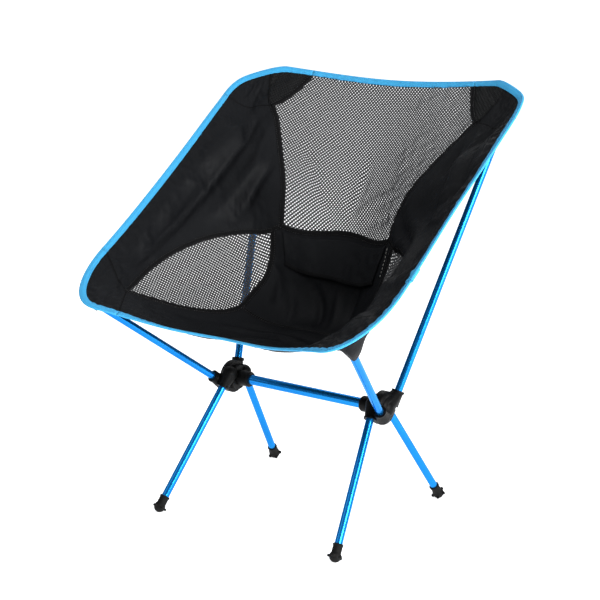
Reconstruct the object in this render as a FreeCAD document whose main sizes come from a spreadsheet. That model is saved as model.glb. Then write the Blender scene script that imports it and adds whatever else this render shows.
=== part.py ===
import FreeCAD, Part
import math
import os
import Sketcher
from FreeCAD import Placement, Rotation, Vector

# Ultralight backpacking chair: a crossbar between two moulded hubs, four short legs,
# four poles, and a sling seat hung on the pole tips by its corner pockets.
# Millimetres, +Z up, the sitter faces -Y, the sitter's left is +X.
# The origin is on the floor, under the middle of the chair's outline.

doc = FreeCAD.newDocument("ultralight_backpacking_chair")
sheet = doc.addObject("Spreadsheet::Sheet", "sizes")

# Driving dimensions. Socket mouths and rod ends are measured from the hub centre.
SIZES = [
    ("bar_y", 1.25),
    ("hub_centre_x", 139.0),
    ("hub_centre_z", 186.0),
    ("bar_radius", 8.0),
    ("bar_wall", 1.2),
    ("bar_overrun", 3.0),
    ("rod_radius", 6.0),
    ("rod_wall", 0.9),
    ("rod_depth", 25.0),
    ("running_gap", 0.05),
    ("front_leg_mouth_x", 1.0),
    ("front_leg_mouth_y", -32.0),
    ("front_leg_mouth_z", -11.0),
    ("front_leg_end_x", 28.0),
    ("front_leg_end_y", -168.5),
    ("rear_leg_mouth_x", -2.5),
    ("rear_leg_mouth_y", 30.0),
    ("rear_leg_mouth_z", -16.0),
    ("rear_leg_end_x", 25.0),
    ("rear_leg_end_y", 146.0),
    ("seat_pole_mouth_x", 19.0),
    ("seat_pole_mouth_y", -34.0),
    ("seat_pole_mouth_z", 6.0),
    ("seat_pole_end_x", 95.0),
    ("seat_pole_end_y", -234.0),
    ("seat_pole_end_z", 164.0),
    ("back_pole_mouth_x", 14.0),
    ("back_pole_mouth_y", 27.5),
    ("back_pole_mouth_z", 22.0),
    ("back_pole_end_x", 88.5),
    ("back_pole_end_y", 223.5),
    ("back_pole_end_z", 452.0),
    ("back_joint_from_mouth", 262.0),
    ("ferrule_length", 60.0),
    ("ferrule_wall", 0.8),
    ("core_radius", 19.5),
    ("core_width", 28.0),
    ("core_offset", 4.0),
    ("flange_radius", 26.0),
    ("flange_width", 15.0),
    ("flange_round", 6.0),
    ("flange_offset", 6.0),
    ("core_round", 8.0),
    ("cord_channel", 10.0),
    ("collar_radius", 12.4),
    ("collar_length", 33.0),
    ("collar_rim", 2.0),
    ("socket_root_radius", 12.5),
    ("socket_mouth_radius", 8.6),
    ("dome_offset", 6.0),
    ("dome_root_radius", 16.5),
    ("dome_top_radius", 9.2),
    ("lip_radius", 10.0),
    ("lip_length", 3.0),
    ("lip_flare", 2.0),
    ("foot_axis_height", 8.0),
    ("foot_ball_radius", 9.0),
    ("foot_ball_centre", 2.5),
    ("foot_sleeve_radius", 7.2),
    ("foot_collar_radius", 8.6),
    ("foot_lip_radius", 8.0),
    ("foot_height", 21.0),
    ("foot_bore_floor", 1.5),
    ("star_thickness", 3.6),
    ("star_lobe_radius", 2.6),
    ("star_lobe_centre", 9.4),
    ("star_valley_radius", 8.2),
    ("star_round", 1.1),
    ("tip_radius", 7.0),
    ("tip_plug_length", 14.0),
    ("tip_head_length", 6.0),
    ("cord_radius", 1.4),
    ("pocket_depth", 26.0),
    ("pocket_ring_radius", 9.0),
    ("pocket_end_room", 3.5),
    ("pocket_rim_gap", 3.2),
    ("pocket_rim_inset", 5.0),
    ("cloth_thickness", 1.2),
    ("mesh_thickness", 1.0),
    ("binding_thickness", 3.6),
    ("binding_width", 10.0),
    ("seam_gap", 0.7),
    ("pouch_lift", 3.0),
]

# Lines of the sling, front to back. Each line gives the middle, the seam, the wing and
# the edge of its left half: x, y, z from the point on the floor below the crossbar.
SLING_STATIONS = ("middle", "seam", "wing", "edge")
SLING_LINES = [
    [(0, -213, 320), (95, -227, 325), (185, -252, 341), (262, -277, 353)],
    [(0, -165, 305), (92, -172, 308), (185, -185, 352), (268, -195, 392)],
    [(0, -90, 291), (88, -95, 296), (178, -105, 365), (268, -110, 443)],
    [(0, -10, 288), (84, -15, 300), (172, -20, 398), (267, -25, 500)],
    [(0, 60, 312), (88, 45, 340), (178, 45, 455), (269, 50, 550)],
    [(0, 112, 421), (103, 80, 429), (190, 88, 518), (271, 110, 591)],
    [(0, 160, 500), (122, 110, 500), (207, 122, 560), (272, 155, 622)],
    [(0, 208, 575), (162, 166, 576), (232, 176, 610), (273, 190, 650)],
    [(0, 255, 648), (150, 246, 656), (215, 228, 664), (273, 218, 671)],
]


def fill_sheet():
    """Put every driving dimension in the sheet, under its own name."""
    rows = list(SIZES)
    for number, line in enumerate(SLING_LINES):
        for station, point in zip(SLING_STATIONS, line):
            for axis, value in zip("xyz", point):
                rows.append(("line%d_%s_%s" % (number, station, axis), float(value)))
    for row, (name, value) in enumerate(rows, start=1):
        sheet.set("A%d" % row, name)
        sheet.set("B%d" % row, "%g" % value)
        sheet.setAlias("B%d" % row, name)
    doc.recompute()
    return len(rows)


sheet_rows = fill_sheet()


def size(name):
    """A dimension read from the sheet."""
    return float(sheet.get(name))




nodes = []


def keep(item, name, placement=None):
    """Label a finished sub-part with its node name and list it for export."""
    item.Label = name
    if placement is not None:
        item.Placement = placement
    nodes.append(item)
    return item


def bind(item, **formulas):
    for prop, formula in formulas.items():
        item.setExpression(prop, formula)
    return item


# ---------------------------------------------------------------- frame geometry

SIDES = (("left", 1.0), ("right", -1.0))


def hub_centre(side):
    return Vector(side * size("hub_centre_x"), size("bar_y"), size("hub_centre_z"))


def hub_point(side, stem):
    """A point given from the hub centre, mirrored for the right side."""
    return Vector(side * size(stem + "_x"), size(stem + "_y"), size(stem + "_z"))


def rod_ends(side, rod):
    """Socket mouth and far end of one rod, and the unit vector between them."""
    centre = hub_centre(side)
    mouth = centre + hub_point(side, rod + "_mouth")
    if rod.endswith("leg"):
        end = centre + Vector(side * size(rod + "_end_x"), size(rod + "_end_y"), 0)
        end.z = 0.0
    else:
        end = centre + hub_point(side, rod + "_end")
    return mouth, end, (end - mouth).normalize()


def facing(origin, direction, hint=Vector(0, 0, -1)):
    """A placement at origin whose Z runs along direction and whose X leans to hint."""
    across = hint - direction * hint.dot(direction)
    turn = Rotation(across.normalize(), Vector(), direction, "ZXY")
    return Placement(origin, turn)


def dome_ends(side):
    """The dome leans from beside the hub's centre to just below the back pole's lip."""
    mouth, end, along = rod_ends(side, "back_pole")
    low = hub_centre(side) + Vector(side * size("dome_offset"), 0, 0)
    return low, mouth - along * (size("lip_length") + size("lip_flare"))


def fill_lengths(row):
    """Work out the rod and cord lengths and keep them in the sheet too."""
    lengths = []
    for rod in ("front_leg", "rear_leg"):
        mouth, end, along = rod_ends(1.0, rod)
        length = (end - mouth).Length + size("rod_depth")
        length -= size("foot_axis_height") + size("foot_bore_floor")
        lengths.append((rod + "_length", length))
        lengths.append((rod + "_cord_length", length + size("cord_channel") - 2.0))
    plug = size("tip_plug_length") + 4.0
    for rod in ("seat_pole", "back_pole"):
        mouth, end, along = rod_ends(1.0, rod)
        length = (end - mouth).Length + size("rod_depth") - size("tip_head_length")
        lengths.append((rod + "_length", length))
        lengths.append((rod + "_cord_length", length - plug))
    lower = size("rod_depth") + size("back_joint_from_mouth")
    lengths.append(("back_lower_length", lower))
    lengths.append(("back_upper_length", lengths[-3][1] - lower))
    bar = 2 * (size("hub_centre_x") + size("bar_overrun"))
    lengths.append(("crossbar_length", bar))
    lengths.append(("crossbar_cord_length", bar - 4.0))
    low, high = dome_ends(1.0)
    lengths.append(("dome_length", (high - low).Length))
    for name, value in lengths:
        row += 1
        sheet.set("A%d" % row, name)
        sheet.set("B%d" % row, "%.4f" % value)
        sheet.setAlias("B%d" % row, name)
    doc.recompute()


fill_lengths(sheet_rows)


# ---------------------------------------------------------------- sketch helpers

def origin_plane(body, role):
    return [f for f in body.Origin.OriginFeatures if f.Role == role][0]


def sketch_on(body, name, role):
    sketch = body.newObject("Sketcher::SketchObject", name)
    sketch.AttachmentSupport = [(origin_plane(body, role), "")]
    sketch.MapMode = "FlatFace"
    return sketch


def add_circle(sketch, name, formula):
    """A circle about the sketch origin whose radius is a formula of the sheet."""
    radius = 5.0
    circle = Part.Circle(Vector(), Vector(0, 0, 1), radius)
    index = sketch.addGeometry(circle, False)
    sketch.addConstraint(Sketcher.Constraint("Coincident", index, 3, -1, 1))
    number = sketch.addConstraint(Sketcher.Constraint("Radius", index, radius))
    sketch.renameConstraint(number, name)
    sketch.setExpression("Constraints." + name, formula)


def add_outline(sketch, corners):
    """A closed outline. Each corner is a pair of formulas, across and up."""
    trial = []
    for across, up in corners:
        trial.append(Vector(evaluate(across), evaluate(up), 0))
    count = len(trial)
    for k in range(count):
        sketch.addGeometry(Part.LineSegment(trial[k], trial[(k + 1) % count]), False)
    for k in range(count):
        after = (k + 1) % count
        sketch.addConstraint(Sketcher.Constraint("Coincident", k, 2, after, 1))
    for k, (across, up) in enumerate(corners):
        for kind, formula, value in (("DistanceX", across, trial[k].x),
                                     ("DistanceY", up, trial[k].y)):
            number = sketch.addConstraint(
                Sketcher.Constraint(kind, -1, 1, k, 1, value))
            if formula != "0":
                name = "%s%d" % (kind[-1].lower(), k)
                sketch.renameConstraint(number, name)
                sketch.setExpression("Constraints." + name, formula)


def evaluate(formula):
    """The value of a formula of the sheet."""
    value = sheet.evalExpression(formula.replace("sizes.", ""))
    return float(getattr(value, "Value", value))


def revolved(body, sketch):
    turn = body.newObject("PartDesign::Revolution", sketch.Name + "_turn")
    turn.Profile = sketch
    turn.ReferenceAxis = (sketch, ["V_Axis"])
    turn.Angle = 360.0
    return turn


# ---------------------------------------------------------------- rods and tubes

def tube(name, outer, inner, length, placement):
    """A straight tube or rod along its own Z, from its placement's origin."""
    body = doc.addObject("PartDesign::Body", name)
    ring = sketch_on(body, name + "_ring", "XY_Plane")
    add_circle(ring, "outer", outer)
    if inner:
        add_circle(ring, "inner", inner)
    pad = body.newObject("PartDesign::Pad", name + "_pad")
    pad.Profile = ring
    bind(pad, Length=length)
    return keep(body, name, placement)


def build_crossbar():
    half = size("hub_centre_x") + size("bar_overrun")
    start = Vector(-half, size("bar_y"), size("hub_centre_z"))
    place = facing(start, Vector(1, 0, 0))
    tube("crossbar", "sizes.bar_radius", "sizes.bar_radius - sizes.bar_wall",
         "sizes.crossbar_length", place)
    tube("crossbar_cord", "sizes.cord_radius", "", "sizes.crossbar_cord_length",
         facing(start + Vector(2, 0, 0), Vector(1, 0, 0)))


ROD_OUTER = "sizes.rod_radius"
ROD_INNER = "sizes.rod_radius - sizes.rod_wall"


def build_leg(end_name, side_name, side):
    """One leg tube with its rubber foot and the cord inside it."""
    rod = end_name + "_leg"
    mouth, end, along = rod_ends(side, rod)
    inner_end = mouth - along * size("rod_depth")
    label = "leg_%s_%s" % (end_name, side_name)
    tube(label, ROD_OUTER, ROD_INNER, "sizes.%s_length" % rod, facing(inner_end, along))
    tube(label + "_cord", "sizes.cord_radius", "", "sizes.%s_cord_length" % rod,
         facing(inner_end - along * (size("cord_channel") - 1.0), along))
    build_foot("foot_%s_%s" % (end_name, side_name), end, along)


def star_outline(sketch):
    """Five round lobes joined by five round valleys, each arc tangent to the next."""
    lobe = size("star_lobe_radius")
    lobe_at = size("star_lobe_centre")
    valley = size("star_valley_radius")
    step = math.radians(36.0)
    gap = valley - lobe
    valley_at = (lobe_at ** 2 - gap ** 2) / (2 * (lobe_at * math.cos(step) - gap))
    arcs = []
    for k in range(5):
        middle = 2 * k * step
        lobe_centre = Vector(lobe_at * math.cos(middle), lobe_at * math.sin(middle), 0)
        before = Vector(valley_at * math.cos(middle - step),
                        valley_at * math.sin(middle - step), 0)
        after = Vector(valley_at * math.cos(middle + step),
                       valley_at * math.sin(middle + step), 0)
        first = (before - lobe_centre).normalize() * lobe + lobe_centre
        second = (after - lobe_centre).normalize() * lobe + lobe_centre
        tip = Vector(math.cos(middle), math.sin(middle), 0) * (lobe_at + lobe)
        arcs.append((first, tip, second))
        nadir = Vector(math.cos(middle + step), math.sin(middle + step), 0) * valley
        arcs.append((second, nadir, None))
    for k, (first, through, last) in enumerate(arcs):
        if last is None:
            last = arcs[(k + 1) % len(arcs)][0]
        sketch.addGeometry(Part.Arc(first, through, last), False)
    for k in range(len(arcs)):
        ahead = (k + 1) % len(arcs)
        pair = join_positions(sketch, k, ahead)
        sketch.addConstraint(Sketcher.Constraint("Coincident", k, pair[0], ahead, pair[1]))


def join_positions(sketch, one, two):
    """Which ends of two arcs meet: 1 is an arc's start and 2 is its end."""
    best = None
    for a in (1, 2):
        for b in (1, 2):
            gap = (sketch.getPoint(one, a) - sketch.getPoint(two, b)).Length
            if best is None or gap < best[0]:
                best = (gap, a, b)
    return best[1], best[2]


def build_foot(name, end, along):
    """Rubber foot. Its own Z runs up the leg from the under face of the star flange."""
    body = doc.addObject("PartDesign::Body", name + "_body")
    star = sketch_on(body, name + "_star", "XY_Plane")
    star_outline(star)
    flange = body.newObject("PartDesign::Pad", name + "_flange")
    flange.Profile = star
    bind(flange, Length="sizes.star_thickness")
    doc.recompute()
    rounded = body.newObject("PartDesign::Fillet", name + "_flange_round")
    rounded.Base = (flange, ["Face%d" % (k + 1) for k, face in
                             enumerate(flange.Shape.Faces) if is_flat_cap(face)])
    bind(rounded, Radius="sizes.star_round")
    doc.recompute()
    side = sketch_on(body, name + "_side", "XZ_Plane")
    add_outline(side, [
        ("0", "0"),
        ("sizes.foot_collar_radius", "0"),
        ("sizes.foot_collar_radius", "sizes.star_thickness"),
        ("sizes.foot_sleeve_radius + 0.2", "sizes.star_thickness + 3"),
        ("sizes.foot_sleeve_radius", "sizes.foot_height - 3.4"),
        ("sizes.foot_lip_radius", "sizes.foot_height - 2.6"),
        ("sizes.foot_lip_radius", "sizes.foot_height - 0.5"),
        ("sizes.foot_lip_radius - 0.5", "sizes.foot_height"),
        ("0", "sizes.foot_height")])
    sleeve = revolved(body, side)
    ball = body.newObject("PartDesign::AdditiveSphere", name + "_ball")
    ball.AttachmentSupport = [(origin_plane(body, "XY_Plane"), "")]
    ball.MapMode = "FlatFace"
    bind(ball, Radius="sizes.foot_ball_radius")
    ball.setExpression(".AttachmentOffset.Base.z", "sizes.foot_ball_centre")
    doc.recompute()
    bore = sketch_on(body, name + "_bore", "XY_Plane")
    bore.setExpression(".AttachmentOffset.Base.z", "sizes.foot_bore_floor")
    add_circle(bore, "bore", "sizes.rod_radius + 0.02")
    pocket = body.newObject("PartDesign::Pocket", name + "_pocket")
    pocket.Profile = bore
    pocket.Reversed = True
    bind(pocket, Length="sizes.foot_height + 2")
    before = sleeve.Shape.Volume
    up = along * -1
    origin = end + up * size("foot_axis_height")
    hint = Rotation(up, 36.0).multVec(downhill(up))
    body.Placement = facing(origin, up, hint)
    doc.recompute()
    if pocket.Shape.Volume >= before:
        raise RuntimeError(name + ": the bore cut nothing")
    floor = doc.addObject("Part::Box", name + "_floor")
    bind(floor, Length="60", Width="60", Height="10")
    floor.Placement = Placement(origin + Vector(-30, -30, -10 - origin.z), Rotation())
    foot = doc.addObject("Part::Cut", name + "_cut")
    foot.Base = body
    foot.Tool = floor
    keep(foot, name)


def is_flat_cap(face):
    """True for the two flat ends of the star flange."""
    return isinstance(face.Surface, Part.Plane)


def downhill(up):
    """The direction square to the leg that points most nearly at the floor."""
    down = Vector(0, 0, -1)
    return (down - up * down.dot(up)).normalize()


# ---------------------------------------------------------------- poles

def build_tip(name, end, along):
    """Ball tip. Its own Z runs out of the tube, and its plug fills the tube's bore."""
    body = doc.addObject("PartDesign::Body", name)
    side = sketch_on(body, name + "_side", "XZ_Plane")
    add_outline(side, [
        ("0", "-sizes.tip_plug_length"),
        ("sizes.rod_radius - sizes.rod_wall - 0.6", "-sizes.tip_plug_length"),
        ("sizes.rod_radius - sizes.rod_wall - 0.02", "1 - sizes.tip_plug_length"),
        ("sizes.rod_radius - sizes.rod_wall - 0.02", "0"),
        ("sizes.tip_radius - 0.5", "0"),
        ("sizes.tip_radius", "0.5"),
        ("sizes.tip_radius", "sizes.tip_head_length * 0.4"),
        ("sizes.tip_radius * 0.92", "sizes.tip_head_length * 0.65"),
        ("sizes.tip_radius * 0.72", "sizes.tip_head_length * 0.86"),
        ("sizes.tip_radius * 0.4", "sizes.tip_head_length * 0.97"),
        ("0", "sizes.tip_head_length")])
    revolved(body, side)
    origin = end - along * size("tip_head_length")
    keep(body, name, facing(origin, along))


def build_seat_pole(side_name, side):
    mouth, end, along = rod_ends(side, "seat_pole")
    inner_end = mouth - along * size("rod_depth")
    name = "seat_pole_" + side_name
    tube(name, ROD_OUTER, ROD_INNER, "sizes.seat_pole_length", facing(inner_end, along))
    tube(name + "_cord", "sizes.cord_radius", "", "sizes.seat_pole_cord_length",
         facing(inner_end + along * 2, along))
    build_tip("tip_front_" + side_name, end, along)


def build_back_pole(side_name, side):
    """Two tubes butted over an inner ferrule, with one cord through both."""
    mouth, end, along = rod_ends(side, "back_pole")
    inner_end = mouth - along * size("rod_depth")
    name = "back_pole_lower_" + side_name
    tube(name, ROD_OUTER, ROD_INNER, "sizes.back_lower_length", facing(inner_end, along))
    joint = inner_end + along * size("back_lower_length")
    tube("back_pole_upper_" + side_name, ROD_OUTER, ROD_INNER,
         "sizes.back_upper_length", facing(joint, along))
    start = joint - along * (size("ferrule_length") / 2)
    tube("ferrule_" + side_name, ROD_INNER + " - sizes.running_gap",
         ROD_INNER + " - sizes.running_gap - sizes.ferrule_wall",
         "sizes.ferrule_length", facing(start, along))
    tube("back_pole_cord_" + side_name, "sizes.cord_radius", "",
         "sizes.back_pole_cord_length", facing(inner_end + along * 2, along))
    build_tip("tip_back_" + side_name, end, along)


# ---------------------------------------------------------------- hubs

RODS = ("front_leg", "rear_leg", "seat_pole", "back_pole")


def cone(name, start, along, radius_low, radius_high, height):
    item = doc.addObject("Part::Cone", name)
    bind(item, Radius1=radius_low, Radius2=radius_high, Height=height)
    item.Placement = facing(start, along, square_to(along))
    return item


def cylinder(name, start, along, radius, height):
    item = doc.addObject("Part::Cylinder", name)
    bind(item, Radius=radius, Height=height)
    item.Placement = facing(start, along, square_to(along))
    return item


def square_to(along):
    return Vector(0, 1, 0) if abs(along.y) < 0.7 else Vector(1, 0, 0)


def ball(name, centre, radius):
    item = doc.addObject("Part::Sphere", name)
    bind(item, Radius=radius)
    item.Placement = Placement(centre, Rotation())
    return item


def rounded_disc(name, centre, side, stem):
    """A disc across the crossbar with rounded edges, sized by the cells named after stem."""
    start = centre + Vector(side * (size(stem + "_offset") - size(stem + "_width") / 2), 0, 0)
    blank = cylinder(name + "_blank", start, Vector(side, 0, 0), "sizes.%s_radius" % stem,
                     "sizes.%s_width" % stem)
    disc = doc.addObject("Part::Fillet", name)
    disc.Base = blank
    rounding = size(stem + "_round")
    disc.Edges = [(1, rounding, rounding), (3, rounding, rounding)]
    return disc


def build_hub(side_name, side):
    """One moulding: a rounded core and flange, a collar for the crossbar and four rod
    sockets, of which the back pole's stands on a dome."""
    stem = "hub_" + side_name
    centre = hub_centre(side)
    inward = Vector(-side, 0, 0)
    solids = [rounded_disc(stem + "_core", centre, side, "core"),
              rounded_disc(stem + "_flange", centre, side, "flange")]
    solids.append(cylinder(stem + "_collar", centre, inward, "sizes.collar_radius",
                           "sizes.collar_length - sizes.collar_rim"))
    rim = centre + inward * (size("collar_length") - size("collar_rim"))
    solids.append(cone(stem + "_rim", rim, inward, "sizes.collar_radius",
                       "sizes.collar_radius - 1.2", "sizes.collar_rim"))
    bores = [cylinder(stem + "_bar_bore", centre - inward * (size("bar_overrun") + 0.05),
                      inward, "sizes.bar_radius + sizes.running_gap",
                      "sizes.collar_length + sizes.bar_overrun + 1")]
    for rod in RODS:
        mouth, end, along = rod_ends(side, rod)
        depth = size("rod_depth")
        start = mouth - along * depth
        name = stem + "_" + rod
        if rod == "back_pole":
            low, high = dome_ends(side)
            lean = (high - low).normalize()
            solids.append(cone(name + "_dome", low, lean, "sizes.dome_root_radius - 0.5",
                               "sizes.dome_top_radius", "sizes.dome_length"))
            solids.append(ball(name + "_root", low, "sizes.dome_root_radius"))
            solids.append(cylinder(name + "_socket", start, along,
                                   "sizes.socket_mouth_radius", "sizes.rod_depth"))
        else:
            root = "sizes.socket_root_radius"
            solids.append(cone(name + "_socket", start, along, root,
                               "sizes.socket_mouth_radius", "sizes.rod_depth"))
            solids.append(ball(name + "_root", start, root))
        back = mouth - along * (size("lip_length") + size("lip_flare"))
        solids.append(cone(name + "_flare", back, along, "sizes.socket_mouth_radius",
                           "sizes.lip_radius", "sizes.lip_flare"))
        solids.append(cylinder(name + "_lip", back + along * size("lip_flare"), along,
                               "sizes.lip_radius", "sizes.lip_length"))
        bores.append(cylinder(name + "_bore", start - along * 0.05, along,
                              "sizes.rod_radius + sizes.running_gap", "sizes.rod_depth + 6"))
        if rod.endswith("leg"):
            bores.append(cylinder(name + "_channel", start - along * size("cord_channel"),
                                  along, "sizes.cord_radius + 0.4",
                                  "sizes.cord_channel + 5"))
    whole = doc.addObject("Part::MultiFuse", stem + "_whole")
    whole.Shapes = solids
    voids = doc.addObject("Part::MultiFuse", stem + "_voids")
    voids.Shapes = bores
    hub = doc.addObject("Part::Cut", stem + "_cut")
    hub.Base = whole
    hub.Tool = voids
    keep(hub, stem)


# ---------------------------------------------------------------- sling surface

def bending(count):
    """Second derivatives of a natural spline through each unit value in turn."""
    columns = []
    for unit in range(count):
        values = [1.0 if k == unit else 0.0 for k in range(count)]
        upper = [0.0] * count
        bend = [0.0] * count
        for k in range(1, count - 1):
            pull = 6.0 * (values[k + 1] - 2 * values[k] + values[k - 1])
            pivot = 4.0 - upper[k - 1]
            upper[k] = 1.0 / pivot
            bend[k] = (pull - bend[k - 1]) / pivot
        for k in range(count - 2, 0, -1):
            bend[k] -= upper[k] * bend[k + 1]
        columns.append(bend)
    return columns


def weights(columns, t):
    """How much each of the evenly spaced values counts at t, from 0 to 1."""
    count = len(columns)
    place = t * (count - 1)
    low = min(max(int(math.floor(place)), 0), count - 2)
    b = place - low
    a = 1.0 - b
    result = []
    for unit in range(count):
        value = a * (unit == low) + b * (unit == low + 1)
        value += ((a ** 3 - a) * columns[unit][low]
                  + (b ** 3 - b) * columns[unit][low + 1]) / 6.0
        result.append(value)
    return result


def sling_grid():
    """The sling's lines from right edge to left edge, moved onto the crossbar's place."""
    grid = []
    shift = Vector(0, size("bar_y"), 0)
    for number in range(len(SLING_LINES)):
        half = []
        for station in SLING_STATIONS:
            stem = "line%d_%s_" % (number, station)
            half.append(Vector(size(stem + "x"), size(stem + "y"), size(stem + "z")) + shift)
        mirrored = [Vector(-p.x, p.y, p.z) for p in reversed(half[1:])]
        grid.append(mirrored + half)
    return grid


GRID = sling_grid()
ALONG_BENDING = bending(len(GRID))
ACROSS_BENDING = bending(len(GRID[0]))


def sling(u, v):
    """A point of the sling: u runs -1 to 1 right to left, v runs 0 to 1 front to back."""
    along = weights(ALONG_BENDING, v)
    across = weights(ACROSS_BENDING, (u + 1.0) / 2.0)
    point = Vector()
    for i, line in enumerate(GRID):
        for j, knot in enumerate(line):
            point += knot * (along[i] * across[j])
    return point


def slopes(u, v):
    step = 0.002
    across = (sling(u + step, v) - sling(u - step, v)) * (0.5 / step)
    back = (sling(u, v + step) - sling(u, v - step)) * (0.5 / step)
    return across, back


def inner_normal(u, v):
    """Unit normal on the sitter's side of the sling."""
    across, back = slopes(u, v)
    return across.cross(back).normalize()


FRONT_CORNER = (0.72, 0.17, 0.28, 0.17)
BACK_CORNER = (0.55, 0.735, 0.45, 0.265)


def rim(q):
    """The seat's outer edge on the left half: 0 front middle, 1 and 2 the ends of the
    front corner, 3 and 4 the ends of the back corner, 5 top middle."""
    mid_u, mid_v, wide, long_ = FRONT_CORNER
    if q <= 1.0:
        return mid_u * q, 0.0
    if q <= 2.0:
        turn = math.radians(90.0 * (q - 2.0))
        return mid_u + wide * math.cos(turn), mid_v + long_ * math.sin(turn)
    far_u, far_v, far_wide, far_long = BACK_CORNER
    if q <= 3.0:
        return 1.0, mid_v + (far_v - mid_v) * (q - 2.0)
    if q <= 4.0:
        turn = math.radians(90.0 * (q - 3.0))
        return far_u + far_wide * math.cos(turn), far_v + far_long * math.sin(turn)
    return far_u * (5.0 - q), 1.0


def rim_inset(q, distance):
    """The rim moved inward over the sling by a distance in millimetres."""
    side = 1.0
    if q < 0:
        side, q = -1.0, -q
    if q > 5:
        side, q = -side, 10.0 - q
    u, v = rim(q)
    if distance == 0.0:
        return side * u, v
    low = rim(max(q - 0.02, 0.0))
    high = rim(min(q + 0.02, 5.0))
    across, back = slopes(u, v)
    run = across * (high[0] - low[0]) + back * (high[1] - low[1])
    inward = across.cross(back).cross(run).normalize() * distance
    aa, ab, bb = across.dot(across), across.dot(back), back.dot(back)
    ra, rb = across.dot(inward), back.dot(inward)
    scale = aa * bb - ab * ab
    return side * (u + (ra * bb - rb * ab) / scale), v + (rb * aa - ra * ab) / scale


# Seams in the sling's own coordinates, on the left half.
FRONT_SEAM_END = 0.83
BACK_SEAM_START = 3.0
BACK_SEAM_END = 4.37
FRONT_PATCH_TIP = (0.705, 0.114)
WINDOW_TOP = [(0.705, 0.114), (0.76, 0.217), (0.755, 0.30), (0.71, 0.376), (0.62, 0.46),
              (0.52, 0.53), (0.385, 0.600)]
WINDOW_LOW = [(0.705, 0.114), (0.606, 0.165), (0.52, 0.217), (0.44, 0.30), (0.415, 0.36)]
WINDOW_REAR = [(0.415, 0.36), (0.42, 0.42), (0.40, 0.48), (0.38, 0.55), (0.385, 0.600)]
BAND_SEAM = [(-0.415, 0.36), (-0.25, 0.385), (0.0, 0.40), (0.25, 0.385), (0.415, 0.36)]
SEAT_CORNER = (0.335, 0.622)
BACK_SIDE = [(0.335, 0.622), (0.335, 0.70), (0.332, 0.78), (0.337, 0.84), (0.368, 0.882),
             (0.430, 0.905)]
BACK_PATCH_ARC = [(0.430, 0.905), (0.372, 0.932), (0.346, 0.962)]
BACK_PATCH_SEAM = [(0.430, 0.905), (0.52, 0.890), (0.64, 0.858), (0.80, 0.81)]


def path(points, t):
    """A point at the share t of the length of a run of straight pieces."""
    lengths = [0.0]
    for one, two in zip(points, points[1:]):
        lengths.append(lengths[-1] + math.hypot(two[0] - one[0], two[1] - one[1]))
    target = t * lengths[-1]
    for k in range(len(points) - 1):
        if target <= lengths[k + 1] or k == len(points) - 2:
            share = (target - lengths[k]) / (lengths[k + 1] - lengths[k])
            one, two = points[k], points[k + 1]
            return (one[0] + (two[0] - one[0]) * share, one[1] + (two[1] - one[1]) * share)


def curve(points, count=24):
    """A smooth run through a few points, as a list of closer points."""
    columns = bending(len(points))
    result = []
    for k in range(count + 1):
        share = weights(columns, k / count)
        result.append((sum(w * p[0] for w, p in zip(share, points)),
                       sum(w * p[1] for w, p in zip(share, points))))
    return result


def rim_run(start, end, inset, count=16):
    return [rim_inset(start + (end - start) * k / count, inset) for k in range(count + 1)]


def patch(low, high, start, end, across, along, side):
    """A net of sling coordinates between four edges that meet at their corners."""
    columns = []
    for i in range(across + 1):
        s = i / across
        column = []
        for j in range(along + 1):
            t = j / along
            a, b = path(low, s), path(high, s)
            c, d = path(start, t), path(end, t)
            p, q, r, w = low[0], low[-1], high[0], high[-1]
            pair = []
            for k in (0, 1):
                value = (1 - t) * a[k] + t * b[k] + (1 - s) * c[k] + s * d[k]
                value -= ((1 - s) * (1 - t) * p[k] + s * (1 - t) * q[k]
                          + (1 - s) * t * r[k] + s * t * w[k])
                pair.append(value)
            column.append((side * pair[0], pair[1]))
        columns.append(column)
    return columns


def trimmed(net, gap):
    """Draw a net's border in by a gap in millimetres, to leave room at each seam."""
    points = [[sling(u, v) for u, v in column] for column in net]
    last_i, last_j = len(net) - 1, len(net[0]) - 1
    result = []
    for i in range(len(net)):
        column = []
        for j in range(len(net[0])):
            u, v = net[i][j]
            for edge, inner in ((0, 1), (last_i, last_i - 1)):
                if i == edge:
                    span = (points[inner][j] - points[i][j]).Length
                    share = min(gap / max(span, 1e-6), 0.6)
                    u += (net[inner][j][0] - net[i][j][0]) * share
                    v += (net[inner][j][1] - net[i][j][1]) * share
            for edge, inner in ((0, 1), (last_j, last_j - 1)):
                if j == edge:
                    span = (points[i][inner] - points[i][j]).Length
                    share = min(gap / max(span, 1e-6), 0.6)
                    u += (net[i][inner][0] - net[i][j][0]) * share
                    v += (net[i][inner][1] - net[i][j][1]) * share
            column.append((u, v))
        result.append(column)
    return result


def skin(points):
    surface = Part.BSplineSurface()
    surface.interpolate(points)
    return surface


def sheet_solid(name, net, thickness, lift=0.0):
    """A closed sheet of even thickness that lies along a net of sling coordinates."""
    half = thickness / 2.0
    upper, lower = [], []
    for column in net:
        pairs = [(sling(u, v), inner_normal(u, v)) for u, v in column]
        upper.append([p + n * (lift + half) for p, n in pairs])
        lower.append([p + n * (lift - half) for p, n in pairs])
    return closed_sheet(name, upper, lower)


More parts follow.
